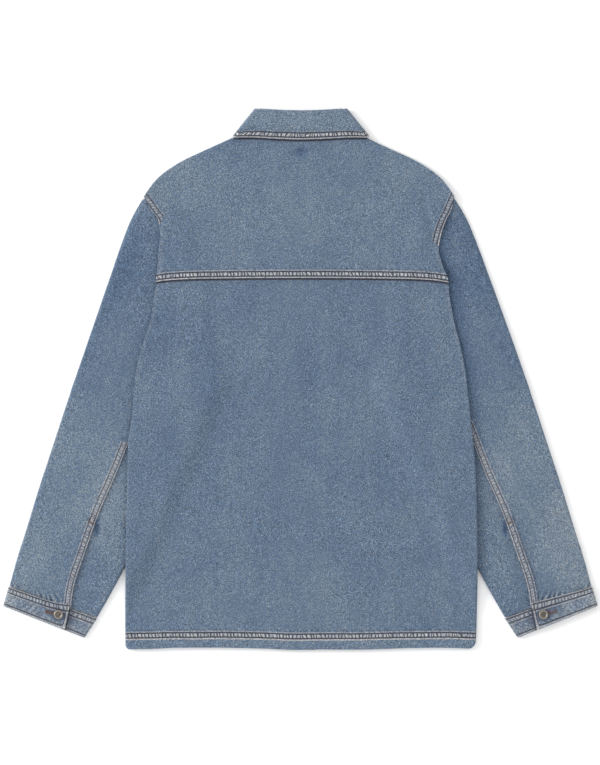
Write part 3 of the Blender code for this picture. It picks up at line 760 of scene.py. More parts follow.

# Places where the cloth is darker or lighter: centre, reach each way, and how much. Most are the wash's
# uneven tone; some are painted shade, as marked below.
toneSpot = namedtuple("toneSpot", "x y reachX reachY amount")
# the spots at -140 and 12 across are painted shade, where the back slopes down over the sleeve's fold and
# the front band beneath
bodySpotsAndShade = rowsOf(
    toneSpot,
    (-215, 470, 60, 90, -0.05), (-140, 420, 30, 120, -0.05), (12, 350, 24, 130, -0.05),
    (205, 470, 45, 80, 0.02), (0, 60, 330, 90, 0.035), (-90, 230, 80, 110, 0.02),
    (140, 250, 90, 100, -0.02), (0, 9, 400, 22, 0.05),
)
yokeSpots = rowsOf(
    toneSpot,
    (-190, 680, 90, 60, 0.06), (185, 690, 90, 60, 0.06), (0, 640, 140, 60, 0.03),
    (-190, 560, 60, 50, -0.05), (1, 724, 13, 8, -0.3),
)
sleeveSpotsAndShade = rowsOf(  # x counts outwards on either sleeve; the two small dark spots are painted shadow round the placket's top
    toneSpot,
    (262, 560, 55, 110, -0.12), (300, 430, 70, 90, -0.05), (330, 250, 120, 130, 0.06),
    (400, 130, 90, 110, 0.07), (268, 190, 60, 130, 0.04), (303, 188, 9, 8, -0.9),
    (296, 176, 5, 14, -0.5),
)
smallSpot = 20  # spots of less reach show on the upper side only
upperSide = 3.0  # what lies higher than this is on the upper side
leftSpots = [toneSpot(268, 180, 60, 130, 0.04)]
rightSpots = rowsOf(  # the right sleeve is paler towards the cuff
    toneSpot,
    (395, 170, 90, 120, 0.08), (330, 330, 80, 110, 0.04),
)
cuffSpotsAndShade = rowsOf(  # painted shade in the hollows round the button, the buttonhole and the lap, and two paler places
    toneSpot,
    (351.5, 51.5, 14, 13, -1.2), (360, 61, 14, 8, -0.4), (362, 53, 10, 6, -0.35),
    (371, 66, 10, 9, -0.3), (376, 57, 9, 11, -0.18), (332, 47, 11, 13, -0.45),
    (318, 37, 12, 9, -0.15), (400, 66, 16, 12, -0.1), (345, 32, 10, 6, 0.2),
    (425, 78, 14, 22, 0.12),
)


def washedAndShaded(spots, ground):
    def at(x, y, z):
        total = ground
        for s in spots:
            if z < upperSide and s.reachX < smallSpot:
                continue
            away = math.hypot((x - s.x) / s.reachX, (y - s.y) / s.reachY)
            total += s.amount * smooth(1 - away) * (2 - smooth(1 - away))
        return total

    return at


besideTop = 630  # the body's edge lies over the sleeve up to here


def besideBody(x, y):
    # how far out from the body's edge a place on a sleeve lies
    return 0.97 * (abs(x) - bodyEdgeAt(sideOf(x), min(y, 640)))


def sleeveWashAndShadow(hand, ground):
    # wash spots, with painted shadow of the body's edge on each sleeve, deeper on the right one
    paint = washedAndShaded(sleeveSpotsAndShade + (rightSpots if hand > 0 else leftSpots), ground)
    depth = 0.3 if hand > 0 else 0.07

    def at(x, y, z):
        # painted shadow beside the body's edge, on the upper side only, deeper higher up
        near = min(max(1 - besideBody(x, y) / 26, 0.0), 1.0) if y < besideTop and z > upperSide else 0.0
        return paint(hand * x, y, z) - depth * (0.35 + 0.65 * smooth((y - 300) / 150)) * near**1.4

    return at


# The back and the yoke, with the body's side folds.
backLook = {
    "width": 500,
    "columnStep": 2.2,
    "ground": 0.5,
    "edgeWear": 0.12,  # on the fold beside the sleeve
    "wearIn": 3.2,  # its middle, in from the fold, and half its width
    "wearWidth": 3.6,
    "wearFoot": 350,  # less of it below this
    "lowShare": 0.12,
    "wearTop": 625,
    "hemRow": 16.3,  # first needle row, up from the hem
    "plainTop": 500,  # above this the rows bend with the yoke's seam
    "flatCut": (0.525, 0.59),
    "flatArea": 0.284,
    "creases": rowsOf(
        fold,
        (-236, 300, -150, 345, 12, 0.35), (-225, 180, -120, 215, 18, -0.35),
        (236, 190, 130, 140, 16, -0.4), (232, 262, 165, 232, 12, 0.3),
        (-60, 420, 30, 395, 22, -0.25), (60, 300, 160, 330, 20, 0.25), (-180, 90, -90, 60, 18, 0.3),
        (40, 75, 140, 100, 16, -0.3),
    ),
}


def backRow(place, count, lying):
    # one row of the back: place is its nominal height, lying gives the height at each x
    left, right = bodyEdgeAt("left", place), bodyEdgeAt("right", place)
    turned = sideTurned(place)
    inner = cloth["foldRadius"]
    row = []
    for i in range(count + 1):
        x = mix(-left + inner, right - inner, i / count)
        y = lying(x)
        top = backHeight(x, y)
        seamZ = 0.5 * (top + frontHeight(x, y)) + sideOpening(y)
        if i == 0:
            row += sideTurn(x, y, -1, top, seamZ, turned)[::-1]
        elif i == count:
            row += sideTurn(x, y, 1, top, seamZ, turned)
        else:
            row.append((x, y, top))
    return row


def edgeWear(x, y):
    out = bodyEdgeAt(sideOf(x), y) - abs(x)
    upper = mix(backLook["lowShare"], 1.0, smooth((y - backLook["wearFoot"]) / 60))
    strip = bump(out - backLook["wearIn"], backLook["wearWidth"])
    return backLook["edgeWear"] * strip * upper * smooth((backLook["wearTop"] - y) / 20)


def hemMarks(x, y):
    wander = 0.7 * chance(x / 70, 2.3)
    return (x, y - backLook["hemRow"] - 0.75 * hemLift(x) - wander, 0.0, offSeam)


def makeBackPanel():
    count = math.ceil(backLook["width"] / backLook["columnStep"])
    hem = body["hemDepth"]
    plain = backLook["plainTop"]
    heights = steps((0, 9, 1.8), (9, 14, 1.6), (14, hem + 8, 0.75), (hem + 8, plain, 5.2))
    grid = [backRow(y, count, lambda x, y=y: waved(x, y)) for y in heights]
    plies = [[1 - smooth((y - hem) / 1.5)] * len(row) for y, row in zip(heights, grid)]
    lapTop = yokeSeamY(0) - 3 + body["yokeLap"]
    for place in steps((504, 528, 4.0), (528, 542, 0.8), (542, lapTop, 2.5)):
        share = (place - plain) / (lapTop - plain)

        def lying(x, share=share):
            return mix(plain, yokeSeamY(x) - 3 + body["yokeLap"], share)

        grid.append(backRow(min(place, lapTop - body["yokeLap"]), count, lying))
        plies.append([0] * len(grid[-1]))

    piece = clothSheet(
        "backPanel", grid, cloth["hem"], denimBody, plies=plies,
        marks=[[hemMarks(x, y) for x, y, z in row] for row in grid],
        lift=lambda x, y, z: foldHeight(backLook["creases"], x, y),
        washAndShade=washedAndShaded(bodySpotsAndShade, backLook["ground"]), worn=edgeWear,
        # distance for the painted shadow below the yoke's lapped edge
        covered=lambda r, c: yokeSeamY(grid[r][c][0]) - 1.0 - grid[r][c][1],
    )
    standFor(piece, "back_panel")


yokeLook = {
    "shoulderStep": 2.4,
    "ground": 0.53,
    "firstRow": 2.9,  # needle rows, in from the folded edge
    "armholeRow": 2.6,
    "armholeIn": 150,  # the armhole's seam lies further out and higher than this
    "armholeFoot": 575,
    "shoulderTip": 642,
    "seamFoot": {"left": (626.0, -2.1), "right": (583.0, -1.0)},  # height 200 out, and slope
    "frontEnd": (56.0, 719.6, 0.13),  # the front edge: its neck end, and share down the armhole
    "squeeze": (7.5, 3.0),  # how far the turn draws in and up at the sleeve's head
    "flatCut": (0.47, 0.27),
    "flatArea": 0.106,
    "creases": rowsOf(
        fold,
        (-170, 600, -120, 640, 14, 0.3), (60, 575, 150, 560, 10, 0.22),
        (-150, 556, -128, 566, 5, 0.4), (-136, 557, -112, 569, 4, -0.4), (0, 725, 1, 726, 12, -1.3),
        (-14, 722, -30, 700, 7, 0.5), (14, 722, 34, 704, 7, 0.45), (-4, 716, -8, 690, 6, 0.35),
        (30, 640, 90, 690, 22, 0.25), (178, 655, 194, 590, 8, -0.6),
    ),
}


def armholeEdge(side, y):
    # the yoke's side, straight on over the shoulder
    high = yokeLook["shoulderTip"]
    if y < high:
        return bodyEdgeAt(side, y)
    slope = (bodyEdgeAt(side, high) - bodyEdgeAt(side, high - 16)) / 16
    return bodyEdgeAt(side, high) + slope * (y - high)


def armholeSeam(x, y):
    # run and distance from the first needle row of the armhole seam, where it shows on the yoke
    if abs(x) < yokeLook["armholeIn"] or y < yokeLook["armholeFoot"]:
        return 0.0, offSeam
    side = sideOf(x)
    slope = (armholeEdge(side, y + 6) - armholeEdge(side, y - 6)) / 12
    away = (armholeEdge(side, y) - abs(x)) / math.hypot(1, slope)
    return -1.3 * y, away - yokeLook["armholeRow"] + pastFold(x, y)


def pastFold(x, y):
    # the armhole seam ends where it passes under the fold of the body's side
    foot, slope = yokeLook["seamFoot"][sideOf(x)]
    return offSeam * smooth((foot - y + slope * (abs(x) - 200)) / 1.8)


def yokeMarks(x, y):
    run, d = armholeSeam(x, y)
    return (x, y - yokeSeamY(x) + 1.0 - yokeLook["firstRow"], run, d)


leafEdge = rowsOf(shoulderPoint, (0, 740), (33, 741), (66, 743), (95.2, 742.8))


def belowLeaf(x, y):
    # how far below the collar leaf's edge a place on the yoke lies
    if abs(x) > 96:
        return math.hypot(abs(x) - 95, y - 743)
    return readCurve(leafEdge, "x", "y", abs(x)) - y


def shoulderTurn(x, y, top, hand, placeOut):
    # from the shoulder's fold round to the yoke's front edge
    downX, downY = -0.5 * hand, -0.866
    bottom = frontHeight(x, y - 6)
    radius = 0.5 * (top - bottom)
    points = []
    for angle in range(15, 166, 15):
        a = math.radians(angle)
        out = 0.8 * math.sin(a)
        points.append((x - downX * out, y - downY * out, bottom + radius + radius * math.cos(a)))
    squeeze = smooth((abs(x) - 195) / 30)
    drawnIn, drawnUp = yokeLook["squeeze"]
    neckX, neckY, onArmhole = yokeLook["frontEnd"]
    outerX, outerY = armholePoint(onArmhole, hand)
    share = (placeOut - shoulderStart) / (shoulderEnd - shoulderStart)
    near = (x + downX * 6 - hand * drawnIn * squeeze, y + downY * 6 + drawnUp * squeeze)
    far = (hand * mix(neckX, outerX, share), mix(neckY, outerY, share))
    for i in range(9):
        px, py = mix(near[0], far[0], i / 8), mix(near[1], far[1], i / 8)
        points.append((px, py, frontHeight(px, py)))
    return points


def makeYoke():
    outs = spread(shoulderEnd, shoulderStart, yokeLook["shoulderStep"])
    necks = spread(shoulderStart, 0, 3.0)[1:]
    tops = [-x for x in outs + necks] + necks[-2::-1] + outs[::-1]
    side, last = len(outs) - 1, 2 * (len(outs) + len(necks)) - 2
    levels = steps((0, 0.075, 0.0037), (0.075, 0.15, 0.0125), (0.15, 1.0, 0.025))
    seamY = body["yokeSeam"] - body["yokeDroop"] - body["yokeEndDroop"]
    columns = []
    for i, topX in enumerate(tops):
        hand = -1 if topX < 0 else 1
        onShoulder = i <= side or i >= last - side
        topY = readCurve(shoulder if onShoulder else neckBack, "x", "y", abs(topX))
        share = abs(topX) / shoulderEnd
        topX += sideShift(topX, topY)
        which = sideName[hand]
        startX = hand * share * bodyEdgeAt(which, seamY)
        column = []
        for t in levels:
            edge = bodyEdgeAt(which, mix(seamY, 655, t))
            x = mix(startX, topX, t)
            y = mix(yokeSeamY(startX) - 1.0, topY, t)
            if share > 0:
                straight = mix(abs(startX), abs(topX), t) / share
                x += hand * (edge - straight) * share**3
            lap = body["yokeLift"] * (1 - smooth((y - yokeSeamY(x) - body["yokeLap"] - 3) / 24))
            column.append((x, y, backHeight(x, y) + lap))
        if onShoulder:
            column += shoulderTurn(*column[-1], hand, abs(tops[i]))
        else:
            column += [column[-1]] * 20
        columns.append(column)
    grid = [[column[r] for column in columns] for r in range(len(columns[0]))]
    backRows = len(levels) - 1

    piece = clothSheet(
        "backYoke",
        grid,
        cloth["ply"],
        denimBody,
        keep=lambda r, c: r < backRows or c < side or c >= last - side,
        marks=[
            [yokeMarks(x, y) if r <= backRows else noSeam for x, y, z in row] for r, row in enumerate(grid)
        ],
        lift=lambda x, y, z: foldHeight(yokeLook["creases"], x, y),
        washAndShade=washedAndShaded(yokeSpots, yokeLook["ground"]),
        worn=edgeWear,
        # distance for the painted shadow below the collar leaf's edge
        covered=lambda r, c: belowLeaf(grid[r][c][0], grid[r][c][1]),
    )
    standFor(piece, "back_yoke")


makeBackPanel()
makeYoke()
print("back and yoke made")


# The fronts lie on the floor side, each row from the button band out to the armhole or the side.
frontRow = namedtuple("frontRow", "innerX innerY armhole outerX outerY")
frontLook = {
    "width": 230,
    "columnStep": 4.5,
    "rowStep": 5.0,
    "ground": 0.52,
    "flatCut": (0.25, 0.72),
    "flatArea": 0.138,
    "rows": rowsOf(
        frontRow,
        (55.6, 718.9, 0.13, 0, 0), (48, 700, 0.27, 0, 0), (38, 679, 0.42, 0, 0),
        (21.3, 652, 0.58, 0, 0), (21.3, 605, 0.72, 0, 0), (21.3, 560, 0.83, 0, 0),
        (21.3, 520, 0.92, 0, 0), (21.3, 490, 0.975, 0, 0), (21.3, 468, None, 150, 381),
        (21.3, 446, None, 178, 371), (21.3, 422, None, 210, 359), (21.3, 396, None, 242, 347),
        (21.3, 355, None, 247, 323), (21.3, 310, None, 250, 300), (21.3, 258, None, 0, 255),
        (21.3, 27, None, 0, 27), (21.3, 14, None, 0, 14), (21.3, 0, None, 0, 0),
    ),
}


def frontEnds(row, hand):
    # the outer end of a front's row
    if row.armhole is not None:
        return armholePoint(row.armhole, hand)
    side = sideName[hand]
    return row.outerX or bodyEdgeAt(side, row.outerY), row.outerY


def denseFrontRows(hand):
    ends = []
    rows = frontLook["rows"]
    for a, b in zip(rows, rows[1:]):
        drop = max(a.innerY - b.innerY, 1.0)
        step = frontLook["rowStep"] if b.innerY != 14 else 0.8
        for t in spread(0.0, 1.0, step / drop)[:-1]:
            innerX, innerY = mix(a.innerX, b.innerX, t), mix(a.innerY, b.innerY, t)
            if b.armhole is not None:
                outer = armholePoint(mix(a.armhole, b.armhole, t), hand)
            elif a.outerX or b.outerX or a.armhole is not None:
                (ax, ay), (bx, by) = frontEnds(a, hand), frontEnds(b, hand)
                outer = mix(ax, bx, t), mix(ay, by, t)
            else:
                y = mix(a.outerY, b.outerY, t)
                outer = bodyEdgeAt(sideName[hand], y), y
            ends.append((innerX, innerY, *outer))
    ends.append((rows[-1].innerX, 0, *frontEnds(rows[-1], hand)))
    return ends


def makeFront(hand):
    side = sideName[hand]
    count = math.ceil(frontLook["width"] / frontLook["columnStep"])
    grid, plies, marks = [], [], []
    for i, (innerX, innerY, outerX, outerY) in enumerate(denseFrontRows(hand)):
        if i == 0:
            outerY -= cloth["gap"]
        turned = sideTurned(outerY)
        points = []
        for c in range(count + 1):
            x = hand * mix(innerX, outerX - cloth["foldRadius"], c / count)
            y = mix(innerY, outerY, c / count)
            y = waved(x, y)
            points.append((x, y, frontHeight(x, y)))
        x, y, low = points.pop()
        seamZ = 0.5 * (backHeight(x, y) + low) - sideOpening(y)
        grid.append(points + sideTurn(x, y, hand, low, seamZ, turned))
        plies.append([1.0 if innerY <= body["hemDepth"] else 0.0] * len(grid[-1]))
        marks.append([hemMarks(px, py) for px, py, pz in grid[-1]])
    piece = clothSheet(
        f"front{side.capitalize()}", grid, cloth["hem"], denimBody, outward=hand, plies=plies,
        marks=marks, washAndShade=washedAndShaded(bodySpotsAndShade, frontLook["ground"]),
    )
    standFor(piece, f"front_{side}")


bandLook = {"step": 1.1, "row": 2.4, "ground": 0.56, "flatCut": (0.045, 0.655), "flatArea": 0.029}


def makeBand():
    half, top = body["bandHalf"], body["neckFront"] - cloth["gap"]
    across = spread(-half, half, bandLook["step"])
    grid = [[(x, y, level["bandLift"]) for x in across] for y in spread(0, top, 3.0)]
    marks = [
        [(*oneRow(y, half + x, bandLook["row"]), *oneRow(y, half - x, bandLook["row"])) for x, y, z in row]
        for row in grid
    ]
    plain = washedAndShaded([], bandLook["ground"])
    piece = clothSheet("frontBand", grid, cloth["band"], denimTrim, outward=-1, marks=marks, washAndShade=plain)
    standFor(piece, "front_band")


for hand in (-1, 1):
    makeFront(hand)
makeBand()
print("fronts made")


# Each sleeve is a main panel that wraps round its outer fold, and an under panel.
sleeveLook = {
    "lap": 9.0,
    "frontSeam": 30.0,  # from the inner fold, on the floor side
    "cuffFlare": {-1: (7.0, 5.0), 1: (8.3, 1.3)},  # mm at the lap, and how late it rises
    "rowStep": 0.085,  # of the distance between two sections
    "firstRow": 1.9,  # needle rows, in from the lapped edge
    "nearSeam": 26.0,  # how far in from the seam the points stand closer
    "seamTop": {-1: 300.0, 1: 330.0},  # above this the body covers the seam
    "placketFrom": 9.28,
    "placketWidth": 11.6,
    "ground": 0.515,
    "gather": 1.1,  # height of the waves above the cuff, their spacing and how far up they reach
    "gatherWave": 8.6,
    "gatherReach": 5.5,
    "gatherMiddle": 60,  # in from the outer fold, where they are strongest
    "mainCut": (0.43, 0.66),
    "mainArea": 0.144,
    "underCut": (0.17, 0.66),
    "underArea": 0.047,
    "mainCreases": rowsOf(  # x counts outwards
        fold,
        (262, 480, 300, 455, 14, 0.35), (300, 400, 335, 380, 16, 0.45),
        (345, 300, 300, 330, 15, -0.4), (330, 270, 372, 250, 13, 0.4),
        (350, 205, 385, 190, 14, -0.4), (372, 120, 392, 160, 12, 0.45),
        (340, 130, 352, 170, 9, -0.35), (240, 545, 250, 480, 12, -0.35),
        (400, 128, 404, 150, 8, 0.4),
    ),
    "underCreases": rowsOf(
        fold,
        (262, 200, 300, 240, 12, -0.3), (300, 120, 312, 150, 10, 0.3),
        (255, 300, 268, 260, 10, 0.25),
    ),
}


def sleeveTop(along, section):
    swell = section.swell * math.sin(math.pi * min(max(along / section.seam, 0.0), 1.0))
    return level["sleeveTop"] + swell + level["seamRaise"] * smooth((along - section.seam + 24) / 16)


def sectionPoints(section, hand, run):
    length = sectionLength(section)
    points = []
    for along, z in run:
        x, y = onSection(section, along / length)
        if hand > 0:
            x -= rightShift(y) * (1 - along / length)
        points.append((hand * x, y, z))
    return points


def sleeveSections():
    places = steps((0, 11.3, sleeveLook["rowStep"]), (11.3, 11.97, 0.035))
    sections = [curveRow(sleeve, at) for at in places]
    down = [0.0]
    for a, b in zip(sections, sections[1:]):
        down.append(down[-1] + math.hypot(b.outerX - a.outerX, b.outerY - a.outerY))
    return list(zip(sections, down))


def cuffPucker(near, along):
    # the sleeve's end is eased into the cuff, which gathers it a little
    if near > 36:
        return 0.0
    near = max(near, 0.0)
    turn = 2 * math.pi * (along + 0.7 * near) / sleeveLook["gatherWave"]
    wave = math.sin(turn + 2.5 * chance(along / 14, 5))
    uneven = 0.15 + 0.6 * chance(along / 22, 1.5) + 0.75 * bump(along - sleeveLook["gatherMiddle"], 34)
    reach = sleeveLook["gatherReach"] + 4 * chance(along / 9, 8.2)
    return sleeveLook["gather"] * max(uneven, 0.0) * wave * math.exp(-near / reach)


def cuffFlare(hand, share):
    # how far the cuff's lapped end rides up over the sleeve, from 0 at the outer fold to the lap
    amount, power = sleeveLook["cuffFlare"][hand]
    return amount * min(max(share, 0.0), 1.0) ** power


def sleeveCrease(folds):
    return lambda x, y, z: foldHeight(folds, abs(x), y) if z > upperSide else 0.0


def sleeveCover(place, toCuff):
    # distance from what lies over the sleeve, for the painted shadow beside it: the body's edge, or the
    # cuff's by its end
    x, y, z = place
    if z < upperSide:
        return shadowReach
    return min(besideBody(x, y) if y < besideTop else shadowReach, toCuff)


def makeSleeveMain(hand):
    side = sideName[hand]
    grid, marks, puckers, toCuff = [], [], [], []
    radius = level["sleeveTop"] / 2
    stations = sleeveSections()
    end = stations[-1][1]
    for section, down in stations:
        length = sectionLength(section)
        reach = sleeveLook["nearSeam"]
        near = [section.seam - d for d in steps((0, 11, 0.75), (11, reach, 2.5))]
        far = [mix(section.seam - reach, radius, i / 34) for i in range(1, 35)]
        run = [(a, sleeveTop(a, section)) for a in near + far]
        run += outerTurn(radius)
        run += [(mix(radius, length - sleeveLook["frontSeam"], i / 36), 0.0) for i in range(37)]
        grid.append(sectionPoints(section, hand, run))
        upper = len(near) + len(far)
        seamY = onSection(section, section.seam / length)[1]
        hidden = offSeam * smooth((seamY - sleeveLook["seamTop"][hand]) / 7)
        inFrom = hidden - sleeveLook["firstRow"]
        row = [(down, section.seam - a + inFrom, 0.0, offSeam) for a, z in run[:upper]]
        marks.append(row + [noSeam] * (len(run) - upper))
        toCuff.append([end + 0.3 - down - cuffFlare(hand, a / section.seam) for a, z in run])
        puckers.append([cuffPucker(far, a) if z > 0.5 else 0.0 for far, (a, z) in zip(toCuff[-1], run)])

    piece = clothSheet(
        f"sleeve{side.capitalize()}Main", grid, cloth["ply"], denimSleeve[hand], outward=-hand,
        marks=marks, lift=sleeveCrease(sleeveLook["mainCreases"]),
        pucker=lambda r, c: puckers[r][c], washAndShade=sleeveWashAndShadow(hand, sleeveLook["ground"]),
        # distance for the painted shadow beside the body's edge and the cuff
        covered=lambda r, c: sleeveCover(grid[r][c], toCuff[r][c]),
    )
    standFor(piece, f"sleeve_{side}_main")


def makeSleeveUnder(hand):
    side = sideName[hand]
    grid, puckers, beyondSeam = [], [], []
    stations = sleeveSections()
    for section, down in stations:
        length = sectionLength(section)
        seam = section.seam
        end = length - level["sleeveTop"] / 2
        stops = steps((seam - sleeveLook["lap"], seam + 1, 2.0), (seam + 1, seam + 23, 2.0))
        stops += [mix(seam + 23, end, i / 16) for i in range(1, 17)]
        run = []
        for a in stops:
            run.append((a, level["sleeveTop"] - level["seamSink"] * (1 - smooth((a - seam - 1) / 21))))
        radius = 0.5 * run[-1][1]
        run[-1] = (length - radius, run[-1][1])
        run += [(length - a, z) for a, z in outerTurn(radius)]
        front = sleeveLook["frontSeam"] - cloth["gap"]
        run += [(length - mix(radius, front, i / 6), 0.0) for i in range(7)]
        grid.append(sectionPoints(section, hand, run))
        puckers.append([cuffPucker(stations[-1][1] - down, a) if z > 0.5 else 0.0 for a, z in run])
        beyondSeam.append([a - seam for a, z in run])

    # distance for the painted shadow beside the body, the cuff and the main panel's lapped edge
    def covered(r, c):
        toCuff = stations[-1][1] + 0.3 - stations[r][1]
        return min(sleeveCover(grid[r][c], toCuff), beyondSeam[r][c])

    piece = clothSheet(
        f"sleeve{side.capitalize()}Under", grid, cloth["ply"], denimSleeve[hand], outward=hand,
        lift=sleeveCrease(sleeveLook["underCreases"]), pucker=lambda r, c: puckers[r][c],
        washAndShade=sleeveWashAndShadow(hand, sleeveLook["ground"]), covered=covered,
    )
    standFor(piece, f"sleeve_{side}_under")


for hand in (-1, 1):
    makeSleeveMain(hand)
    makeSleeveUnder(hand)
print("sleeves made")


placketLook = {"ground": 0.42, "firstRow": 2.2, "flatCut": (0.012, 0.13), "flatArea": 0.0015}


def makePlacket(hand):
    side = sideName[hand]
    grid, marks = [], []
    width = sleeveLook["placketWidth"]
    down = 0.0
    for at in spread(sleeveLook["placketFrom"], 11.9, 0.035):
        section = curveRow(sleeve, at)
        run, row = [], []
        for i in range(17):
            inFrom = width * i / 16
            a = section.seam - inFrom
            rounded = 0.5 * (bump(inFrom, 1.0) + bump(inFrom - width, 1.0))
            run.append((a, sleeveTop(a, section) + cloth["gap"] + cloth["strip"] - rounded))
            row.append((down, inFrom - placketLook["firstRow"], 0.0, offSeam))
        grid.append(sectionPoints(section, hand, run))
        marks.append(row)
        down += 1.85
    piece = clothSheet(
        f"placket{side.capitalize()}", grid, cloth["strip"], denimSleeve[hand], outward=-hand,
        marks=marks, washAndShade=sleeveWashAndShadow(hand, placketLook["ground"]),
    )
    standFor(piece, f"placket_{side}")


cuffEdge = namedtuple("cuffEdge", "outerX outerY innerX innerY lap")
cuffLook = {
    "edges": [
        cuffEdge(423.9, 91.8, 295.8, 45.6, 92.5),
        cuffEdge(432, 64.0, 314.3, 17.6, 96.0),
    ],
    "depth": 31.0,
    "underlap": 22.0,
    "firstRow": 2.1,
    "edgeRow": 3.8,  # the single row in from the lap's end and the free edge
    "rub": 0.14,
    "lapRub": 0.7,
    "edgeRub": 0.12,
    "wave": 7.6,
    "waveHeight": 0.3,
    "cornerTurn": 8.0,  # radius of that row's turn at the lap's corner
    "ground": 0.62,
    "flatCut": (0.30, 0.031),
    "flatArea": 0.0092,
    "button": (351.5, 51.5),
    "slit": (369.5, 56.0),  # the buttonhole's far end
}


def cornerDistance(fromEnd, fromEdge, radius):
    # distance in from a band's end or edge, round a soft corner
    if fromEnd < radius and fromEdge < radius:
        return radius - math.hypot(radius - fromEnd, radius - fromEdge)
    return min(fromEnd, fromEdge)


def cuffBandPucker(walked, low, hand):
    # the cuff's own small waves, most of them round the button
    turn = 2 * math.pi * (walked + 0.8 * low) / cuffLook["wave"]
    wave = math.sin(turn + 2 * chance(walked / 11, low / 9, 3))
    uneven = 0.45 + chance(walked / 19, 7.7, hand) + 0.5 * bump(walked - 16, 26)
    return cuffLook["waveHeight"] * wave * bump(low - 12, 13) * max(uneven, 0.0)


def cuffWear(walked, low):
    # rubbed all over, most of all at the lap's end
    atLap, atEdge = bump(walked - 1.6, 2.0), bump(low - 1.4, 2.0)
    return cuffLook["rub"] + cuffLook["lapRub"] * atLap + cuffLook["edgeRub"] * atEdge


def makeCuff(hand):
    side = sideName[hand]
    paint = washedAndShaded(cuffSpotsAndShade, cuffLook["ground"])
    grid, marks, puckers, lapped, rubbed = [], [], [], [], []
    top, under = level["cuffTop"], level["cuffUnderTop"]
    depth = cuffLook["depth"]
    for t in spread(0.0, 1.0, 0.026):
        edge = cuffEdge(*[mix(a, b, t) for a, b in zip(*cuffLook["edges"])])
        section = sleeveSection(edge.outerX, edge.outerY, edge.innerX, edge.innerY, 0, 0, 0)
        length = sectionLength(section)
        outer, inner = top / 2, under / 2
        run = [(mix(edge.lap, outer, i / 46), top) for i in range(47)]
        run += outerTurn(outer)
        run += [(mix(outer, length - inner, i / 50), 0.0) for i in range(51)]
        run += [(length - a, under - z) for a, z in outerTurn(inner)]
        run += [(mix(length - inner, edge.lap - cuffLook["underlap"], i / 28), under) for i in range(29)]
        points = sectionPoints(section, hand, run)
        row, small = [], []
        walked = 0.0
        low = depth * (1 - t)
        for i, (a, z) in enumerate(run):
            walked += math.hypot(a - run[i - 1][0], z - run[i - 1][1]) if i else 0.0
            inFrom = cornerDistance(walked, low, cuffLook["cornerTurn"])
            single = oneRow(low - walked, inFrom, cuffLook["edgeRow"])
            row.append((walked, t * depth - cuffLook["firstRow"], *single))
            small.append(cuffBandPucker(walked, low, hand) if z > 0.5 else 0.0)
            if i < 47:
                x, y, height = points[i]
                flare = cuffFlare(hand, a / edge.lap) * (1 - t)
                points[i] = (x - 0.34 * hand * flare, y + 0.94 * flare, height + 0.12 * flare)
        grid.append(points)
        marks.append(row)
        puckers.append(small)
        rubbed.append([cuffWear(m[0], low) for m in row])
        below = len(run) - 29  # the other end's points, under the lap
        # distance from the lap's edge, for the painted shadow on the underlap beside it
        lapped.append([shadowReach] * below + [max(a - edge.lap, 0.0) for a, z in run[below:]])
    piece = clothSheet(
        f"cuff{side.capitalize()}", grid, cloth["cuff"], denimTrim, outward=-hand, marks=marks,
        pucker=lambda r, c: puckers[r][c], washAndShade=lambda x, y, z: paint(abs(x), y, z), rubbed=rubbed,
        covered=lambda r, c: lapped[r][c],
    )
    standFor(piece, f"cuff_{side}")


for hand in (-1, 1):
    makePlacket(hand)
    makeCuff(hand)
print("cuffs made")


# The collar's stations run from one point to the other, round the back of the neck.
collarStation = namedtuple("collarStation", "rollX rollY neckX neckY edgeX edgeY turn")
collarLook = {
    "stations": rowsOf(
        collarStation,
        (3, 682, 3, 653.5, 50, 622, 0), (20, 697, 24, 668, 64, 650, 0),
        (37, 722, 43, 699, 77, 683, 0), (51.5, 753, 59.5, 728, 89, 713, 0),
        (63.4, 781.8, 73, 754.6, 95.2, 742.8, 0), (62.2, 784.4, 73, 754.6, 95.2, 742.8, 180),
        (58.5, 785.2, 66.5, 753.2, 85, 743.2, 180), (45, 784.2, 50, 749.8, 66, 743, 180),
        (22, 783, 25, 747, 33, 741, 180), (0, 782.7, 0, 746.5, 0, 740, 180),
    ),
    "side": (0.786, 0.618),  # outward across the side fold, in plan
    "roll": 2.15,
    "sewn": 13.0,  # how far in from the edge the points stand closer
    "firstRow": 3.0,
    "ground": 0.6,
    "leafCut": (0.47, 0.062),
    "leafArea": 0.0245,
    "standCut": (0.40, 0.03),
    "standArea": 0.0088,
}


def collarStations():
    half = []
    rows = collarLook["stations"]
    for a, b in zip(rows, rows[1:]):
        far = math.hypot(b.edgeX - a.edgeX, b.edgeY - a.edgeY)
        count = 12 if a.turn != b.turn else max(4, round(far / 2.4))
        half += [collarStation(*[mix(p, q, i / count) for p, q in zip(a, b)]) for i in range(count)]
    half.append(rows[-1])
    other = [row._replace(rollX=-row.rollX, neckX=-row.neckX, edgeX=-row.edgeX) for row in half[-2::-1]]
    return [(1, row) for row in half] + [(-1, row) for row in other]


def collarPoint(hand, row, endX, endY, along, height):
    reach = math.hypot(endX - row.rollX, endY - row.rollY)
    turn = math.radians(row.turn)
    out = height * math.sin(turn)
    x = row.rollX + (endX - row.rollX) / reach * along + hand * collarLook["side"][0] * out
    y = row.rollY + (endY - row.rollY) / reach * along + collarLook["side"][1] * out
    return x, y, level["collarMiddle"] - height * math.cos(turn)


